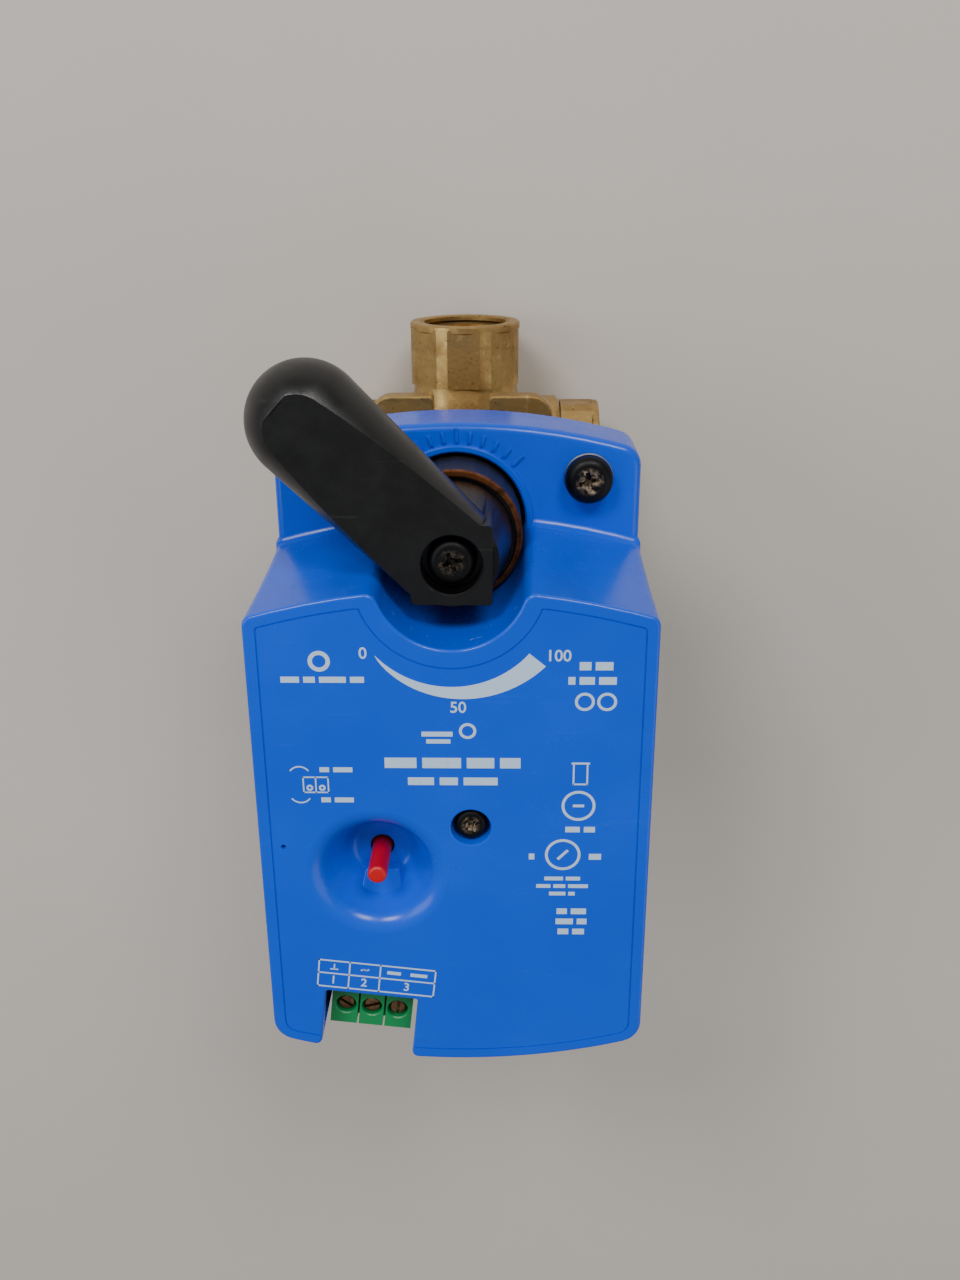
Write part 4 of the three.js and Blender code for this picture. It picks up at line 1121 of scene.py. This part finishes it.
def terminal_body():
    """The green block: a well over each screw, a wire way in front of each and ribs between the poles."""
    low, high, _ = node_box("terminal_block")
    pitch, half_depth, well, wire_half = 5.08, 4.25, 1.95, 1.84
    half = pitch * 1.5 + 0.3
    body = block((-half, -half_depth, low.z), (half, half_depth, high.z))
    tools = []
    for i in (-1, 0, 1):
        x = i * pitch
        tools.append(spun([(0, high.z - 4), (well, high.z - 4), (well, high.z - 0.25), (well + 0.2, high.z + 0.01),
                           (well + 0.2, high.z + 1), (0, high.z + 1)], x, 0, 32))
        tools.append(block((x - wire_half, -half_depth - 1, high.z - 12), (x + wire_half, 0.5, high.z - 7)))
        if i < 1:
            edge = x + pitch / 2
            tools.append(block((edge - 0.18, -half_depth - 1, high.z - 3), (edge + 0.18, half_depth + 1, high.z + 1)))
    body = softened(cut(body, *tools), 0.15, 40)
    return set_at(body, TERMINAL.x, TERMINAL.y, TERMINAL_TURN)


def slotted_screw(node, turn):
    """A slotted terminal screw that sits in its well."""
    low, high, centre = node_box(node)
    radius = 1.65
    head = spun([(0, low.z), (radius, low.z), (radius, high.z - 0.35), (radius - 0.25, high.z - 0.05),
                 (radius - 0.6, high.z), (0, high.z)], steps=40)
    slot = set_at(block((-3, -0.3, high.z - 1), (3, 0.3, high.z + 1)), 0, 0, math.radians(turn))
    return set_at(softened(cut(head, slot), 0.05, 40), centre.x, centre.y)


class ACTUATOR_OT_terminals(bpy.types.Operator):
    """Build the terminal block and its three screws"""
    bl_idname = "actuator.terminals"
    bl_label = "Terminals"

    def execute(self, context):
        finished(terminal_body(), "terminal_housing", "housing", "terminal", ["terminal_block"])
        for i, turn in enumerate((-30, 20, 90)):
            node = f"terminal_screw_{i + 1}"
            finished(slotted_screw(node, turn - 6.5), f"{node}_slotted", "housing", "terminal_screw", [node])
        return {"FINISHED"}


# ---- Base tray ----

def tray_outline(inset):
    """The tray seen from the front, a wall and a gap inside the cover."""
    side, corner, steps = TRAY_HIGH.x - inset, 3.0, 12
    top, bottom = TRAY_HIGH.y - inset, TRAY_LOW.y + inset
    xs = [(side - 5) * (i * 2 / steps - 1) for i in range(steps + 1)]
    corners = [(-side, bowed(bottom, side, -1), corner)] + [(x, bowed(bottom, x, -1), 0) for x in xs]
    corners += [(side, bowed(bottom, side, -1), corner), (side, bowed(top, side), corner)]
    corners += [(x, bowed(top, x), 0) for x in reversed(xs)] + [(-side, bowed(top, side), corner)]
    return rounded(corners)


def tray_body():
    """The dark base: an open tray with posts inside, a stepped underside, ribs and holes for the screws and the hub."""
    low, high, floor = TRAY_FOOT, SKIRT_Z + 6, TRAY_FOOT + 2
    shell = prism(tray_outline(0), low, high)
    rounded_edges(shell, rim(shell, low), 0.9, 3)
    shell = cut(shell, prism(tray_outline(2), floor, high + 1))
    lug_in, lug_out, lug_half = PAD_HALF - PAD_NOTCH_DEPTH + GAP, PAD_HALF, PAD_NOTCH_HALF - GAP
    for side in (-1, 1):
        near, far = sorted((side * lug_in, side * lug_out))
        lug = block((near, -lug_half, TRAY_LOW.z), (far, lug_half, low + 0.5))
        shell = joined(shell, softened(lug, 0.4))
    # Posts as (x, y, radius, top), for the shelf screws, the board, the bearing plate and the cover screw.
    board_post, plate_post, shelf_xs = (2.4, 68.7), (2.4, 57.7), (-SHELF_SCREW.x, SHELF_SCREW.x)
    posts = [(x, SHELF_SCREW.y, 3.6, SHELF_Z - 2.3) for x in shelf_xs]
    posts += [(x, y, *board_post) for x, y in ((25, -68), (-25, -68), (25, -87))]
    posts += [(x, y, *plate_post) for x, y in ((-6, -54), (27, -21), (-20.5, -22))]
    posts.append((COVER_SCREW.x, COVER_SCREW.y, 3.1, 56))
    shell = joined(shell, *[rod(r, floor - 1, z, x, y, 32) for x, y, r, z in posts])
    holes = [(x, SHELF_SCREW.y, SCREW_HOLE, 60) for x in shelf_xs]
    holes.append((0, 0, 12.3, floor + 1))
    tools = [rod(r, low - 1, z, x, y, 48) for x, y, r, z in holes]
    tools.append(rod(1.8, 42, 70, COVER_SCREW.x, COVER_SCREW.y, 24))
    # A shallow panel between the valve's plate and the lower end, crossed by ribs.
    half, height, spacing = 27, 14.6, 16.4
    for i in range(4):
        near = -half - i * spacing
        far = near - height
        panel = rounded([(-half, far, 2), (half, far, 2), (half, near, 2), (-half, near, 2)], 4)
        tools.append(prism(panel, low - 1, low + 0.8))
    return cut(shell, *tools)


class ACTUATOR_OT_base_tray(bpy.types.Operator):
    """Build the dark base tray"""
    bl_idname = "actuator.base_tray"
    bl_label = "Base tray"

    def execute(self, context):
        finished(tray_body(), "tray_moulding", "housing", "tray", ["base_tray"])
        return {"FINISHED"}


# ---- Valve ----

def octagon_end(sizes, near, far, turn):
    """A port end with eight flats whose corners are turned round, a rim and chamfers, laid along its axis."""
    flats, radius = sizes.flats / 2, sizes.port
    across = flats / math.cos(math.pi / 8)
    eight = arc(0, 0, across, 22.5, 337.5, 7)
    prism_end = prism(eight, near, far - 0.6)
    turned_end = rod(radius + 0.2, near - 1, far - 1)
    body = combined(prism_end, "INTERSECT", turned_end)
    collar = spun([(0, far - 2.0), (radius - 0.5, far - 2.0), (radius, far - 1.5), (radius, far - 0.35),
                   (radius - 0.35, far), (0, far)], steps=72)
    return lying(joined(body, collar), turn)


def threaded_bore(sizes, far, turn):
    """A cutter for a port's threaded mouth."""
    depth = 13
    crest, pitch = sizes.thread, sizes.pitch
    root, flare = crest + 0.95, crest + 1.2
    count = int(depth / pitch)
    profile = [(0, far - depth), (crest, far - depth)]
    for i in range(count):
        low = far - depth + 0.3 + i * pitch
        profile += [(crest, low), (root, low + pitch * 0.42), (root, low + pitch * 0.54), (crest, low + pitch * 0.92)]
    profile += [(crest, far - 1.0), (flare, far + 0.01), (flare, far + 1), (0, far + 1)]
    return lying(spun(profile), turn)


def passage(far, turn):
    """A cutter for the water's way from the middle of the valve out through a port."""
    return lying(rod(5.6, 0, far, steps=40), turn)


def pad():
    """The four-eared mounting pad."""
    half, notch, depth = PAD_HALF, PAD_NOTCH_HALF, PAD_NOTCH_DEPTH
    quarter = [(notch, -half, 1.0), (half, -half, 4.5), (half, -notch, 1.0), (half - depth, -notch, 0.8),
               (half - depth, notch, 0.8)]
    corners = []
    for i in range(4):
        turn = Matrix.Rotation(math.pi / 2 * i, 2)
        corners += [(*(turn @ Vector((x, y))), r) for x, y, r in quarter]
    low, high = VALVE_HIGH.z - 5, VALVE_HIGH.z
    bm = prism(rounded(corners), low, high)
    return rounded_edges(bm, rim(bm, high) + rim(bm, low), 0.6)


def valve_forging(sizes):
    """The brass body: a round chest, two ports, a boss for the screwed-in adapter, the neck and the pad."""
    reach, low = VALVE_HIGH.y, VALVE_LOW.z
    chest = spun([(0, low)] + arc(0, 0, -low, -84, 50, 22) + [(9.6, 12.0), (9.0, 14.5), (9.0, 23.5), (10.5, 27.2),
                                                             (0, 27.2)], steps=72)
    swell = [(0, 0), (12.6, 0), (12.4, 12.6), (11.8, 15.4), (11.6, 18.5), (0, 18.5)]
    boss = lying(spun([(0, 0), (-low, 0), (-low, 20.6), (-low - 0.9, 21.5), (0, 21.5)], steps=72), -90)
    body = joined(chest, lying(spun(swell), 0), lying(spun(swell), 90), boss,
                  octagon_end(sizes, 17.0, reach, 0), octagon_end(sizes, 17.0, reach, 90), pad())
    stem = rod(5.35, 5, 40, steps=40)
    cavity = lying(spun([(0, -12), (10.2, -12), (10.2, 12.1), (11.3, 12.1), (11.3, 23), (0, 23)]), -90)
    return cut(body, threaded_bore(sizes, reach, 0), threaded_bore(sizes, reach, 90), passage(reach, 0),
               passage(reach, 90), cavity, stem)


def adapter_body(sizes):
    """The adapter screwed into the right side of the valve."""
    reach = ADAPTER_HIGH.x
    near, radius, far = ADAPTER_LOW.x, 11, 22.5
    spigot = lying(spun([(0, near), (radius - 0.4, near), (radius, near + 0.4), (radius, far), (0, far)]), -90)
    body = joined(octagon_end(sizes, 21.8, reach, -90), spigot)
    return cut(body, threaded_bore(sizes, reach, -90), passage(reach + 1, -90))


class ACTUATOR_OT_valve(bpy.types.Operator):
    """Build the brass valve body and its end adapter"""
    bl_idname = "actuator.valve"
    bl_label = "Valve"

    def execute(self, context):
        sizes = sizes_of("valve")
        finished(valve_forging(sizes), "valve_forging", "housing", "brass", ["valve_body"], 28)
        finished(adapter_body(sizes), "end_adapter_turned", "housing", "brass", ["end_adapter"], 28)
        return {"FINISHED"}


# ---- Inner parts that keep their CAD shape ----

CARRIED_OVER = {
    "rubber": ["cover_seal", "stem_seal_1", "stem_seal_2"],
    "board": ["circuit_board"],
    "zinc": ["board_screw_1", "board_screw_2", "board_screw_3", "plate_screw_1", "plate_screw_2", "plate_screw_3",
             "bearing_plate", "drive_motor"],
    "film": ["smoothing_capacitor"],
    "epoxy": ["control_chip", "mode_jumper", "supply_choke"],
    "gear": ["output_sector", "second_gear"],
    "acetal": ["first_gear"],
    "brass": ["motor_pinion"],
    "stainless": ["motor_shaft", "second_arbor", "first_arbor", "valve_stem"],
    "sleeve": ["output_sleeve"],
    "bronze": ["sleeve_bearing"],
    "chrome": ["valve_ball"],
    "ptfe": ["ball_seat_left", "ball_seat_right"],
}


class ACTUATOR_OT_inner_parts(bpy.types.Operator):
    """Give the inner parts their finishes"""
    bl_idname = "actuator.inner_parts"
    bl_label = "Inner parts"

    def execute(self, context):
        for finish, nodes in CARRIED_OVER.items():
            for node in nodes:
                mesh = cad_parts[node].data
                mesh.materials.clear()
                mesh.materials.append(material(finish))
        return {"FINISHED"}


# ---- Stage ----

def area_light(name, place, target, size, watts, light):
    """A rectangular lamp turned towards a target."""
    data = bpy.data.lights.new(name, "AREA")
    data.shape = "RECTANGLE"
    data.size, data.size_y = size
    data.energy = watts
    data.color = light
    lamp = linked(name, data)
    lamp.location = place
    lamp.rotation_euler = (Vector(target) - Vector(place)).to_track_quat("-Z", "Y").to_euler()


class ACTUATOR_OT_stage(bpy.types.Operator):
    """Lay the floor, set the lights and place the camera"""
    bl_idname = "actuator.stage"
    bl_label = "Stage"

    def execute(self, context):
        floor_z = CAD_BOUNDS[0].z - 0.2 * MM
        bm = bmesh.new()
        bmesh.ops.create_grid(bm, x_segments=8, y_segments=8, size=1.6)
        bmesh.ops.translate(bm, vec=(0, 0, floor_z), verts=bm.verts)
        floor = linked("floor", as_mesh(bm, "floor"))
        floor.data.materials.append(material("floor"))
        centre = (0, -0.03, 0.05)
        area_light("overhead left", (-0.5, 0.95, 0.95), centre, (0.45, 0.4), 9, (1, 0.98, 0.95))
        area_light("overhead right", (0.35, 1.0, 0.95), centre, (0.45, 0.4), 9, (1, 0.98, 0.95))
        area_light("window", (-0.9, 0.1, 0.8), centre, (0.7, 0.7), 4, (0.92, 0.96, 1))
        area_light("fill", (0.9, -0.5, 0.9), centre, (1.0, 1.0), 3, (1, 0.97, 0.94))
        world = bpy.data.worlds.new("studio")
        world.use_nodes = True
        background = world.node_tree.nodes["Background"]
        background.inputs["Color"].default_value = (0.9, 0.9, 0.9, 1)
        background.inputs["Strength"].default_value = 0.28
        context.scene.world = world
        data = bpy.data.cameras.new("camera")
        data.lens = 33.75
        data.sensor_width = 36
        data.clip_start = 0.01
        camera = linked("camera", data)
        right = Vector((0.99979511, -0.00583027, -0.01938438))
        up = Vector((-0.00166725, 0.93065048, -0.36590559))
        camera.matrix_world = Matrix.Translation((0.0090027, 0.0625422, 0.2792573)) @ Matrix(
            (right, up, right.cross(up))).transposed().to_4x4()
        context.scene.camera = camera
        return {"FINISHED"}


# ---- Panel and registration ----

STEPS = (
    ACTUATOR_OT_stage, ACTUATOR_OT_cover, ACTUATOR_OT_face_print, ACTUATOR_OT_cover_fasteners, ACTUATOR_OT_lever,
    ACTUATOR_OT_release_button, ACTUATOR_OT_terminals, ACTUATOR_OT_base_tray, ACTUATOR_OT_valve,
    ACTUATOR_OT_inner_parts,
)
GROUPS = {
    "actuator_cover": CoverSizes,
    "actuator_lever": LeverSizes,
    "actuator_valve": ValveSizes,
    "actuator_colours": FinishColours,
}


class ACTUATOR_PT_panel(bpy.types.Panel):
    """The builder's steps and sizes"""
    bl_label = "Actuator Head"
    bl_idname = "ACTUATOR_PT_panel"
    bl_space_type = "VIEW_3D"
    bl_region_type = "UI"
    bl_category = "Actuator"

    def draw(self, context):
        for step in STEPS:
            self.layout.operator(step.bl_idname)
        for group in GROUPS:
            box = self.layout.box()
            settings = getattr(context.scene, group)
            for name in own_settings(settings):
                box.prop(settings, name)


def register():
    for group in GROUPS.values():
        bpy.utils.register_class(group)
    for name, group in GROUPS.items():
        setattr(bpy.types.Scene, name, bpy.props.PointerProperty(type=group))
    for step in STEPS:
        bpy.utils.register_class(step)
    bpy.utils.register_class(ACTUATOR_PT_panel)


def unregister():
    bpy.utils.unregister_class(ACTUATOR_PT_panel)
    for step in reversed(STEPS):
        bpy.utils.unregister_class(step)
    for name, group in GROUPS.items():
        delattr(bpy.types.Scene, name)
        bpy.utils.unregister_class(group)


def main():
    register()
    for step in STEPS:
        getattr(bpy.ops.actuator, step.bl_idname.split(".")[1])()


if __name__ == "__main__":
    main()
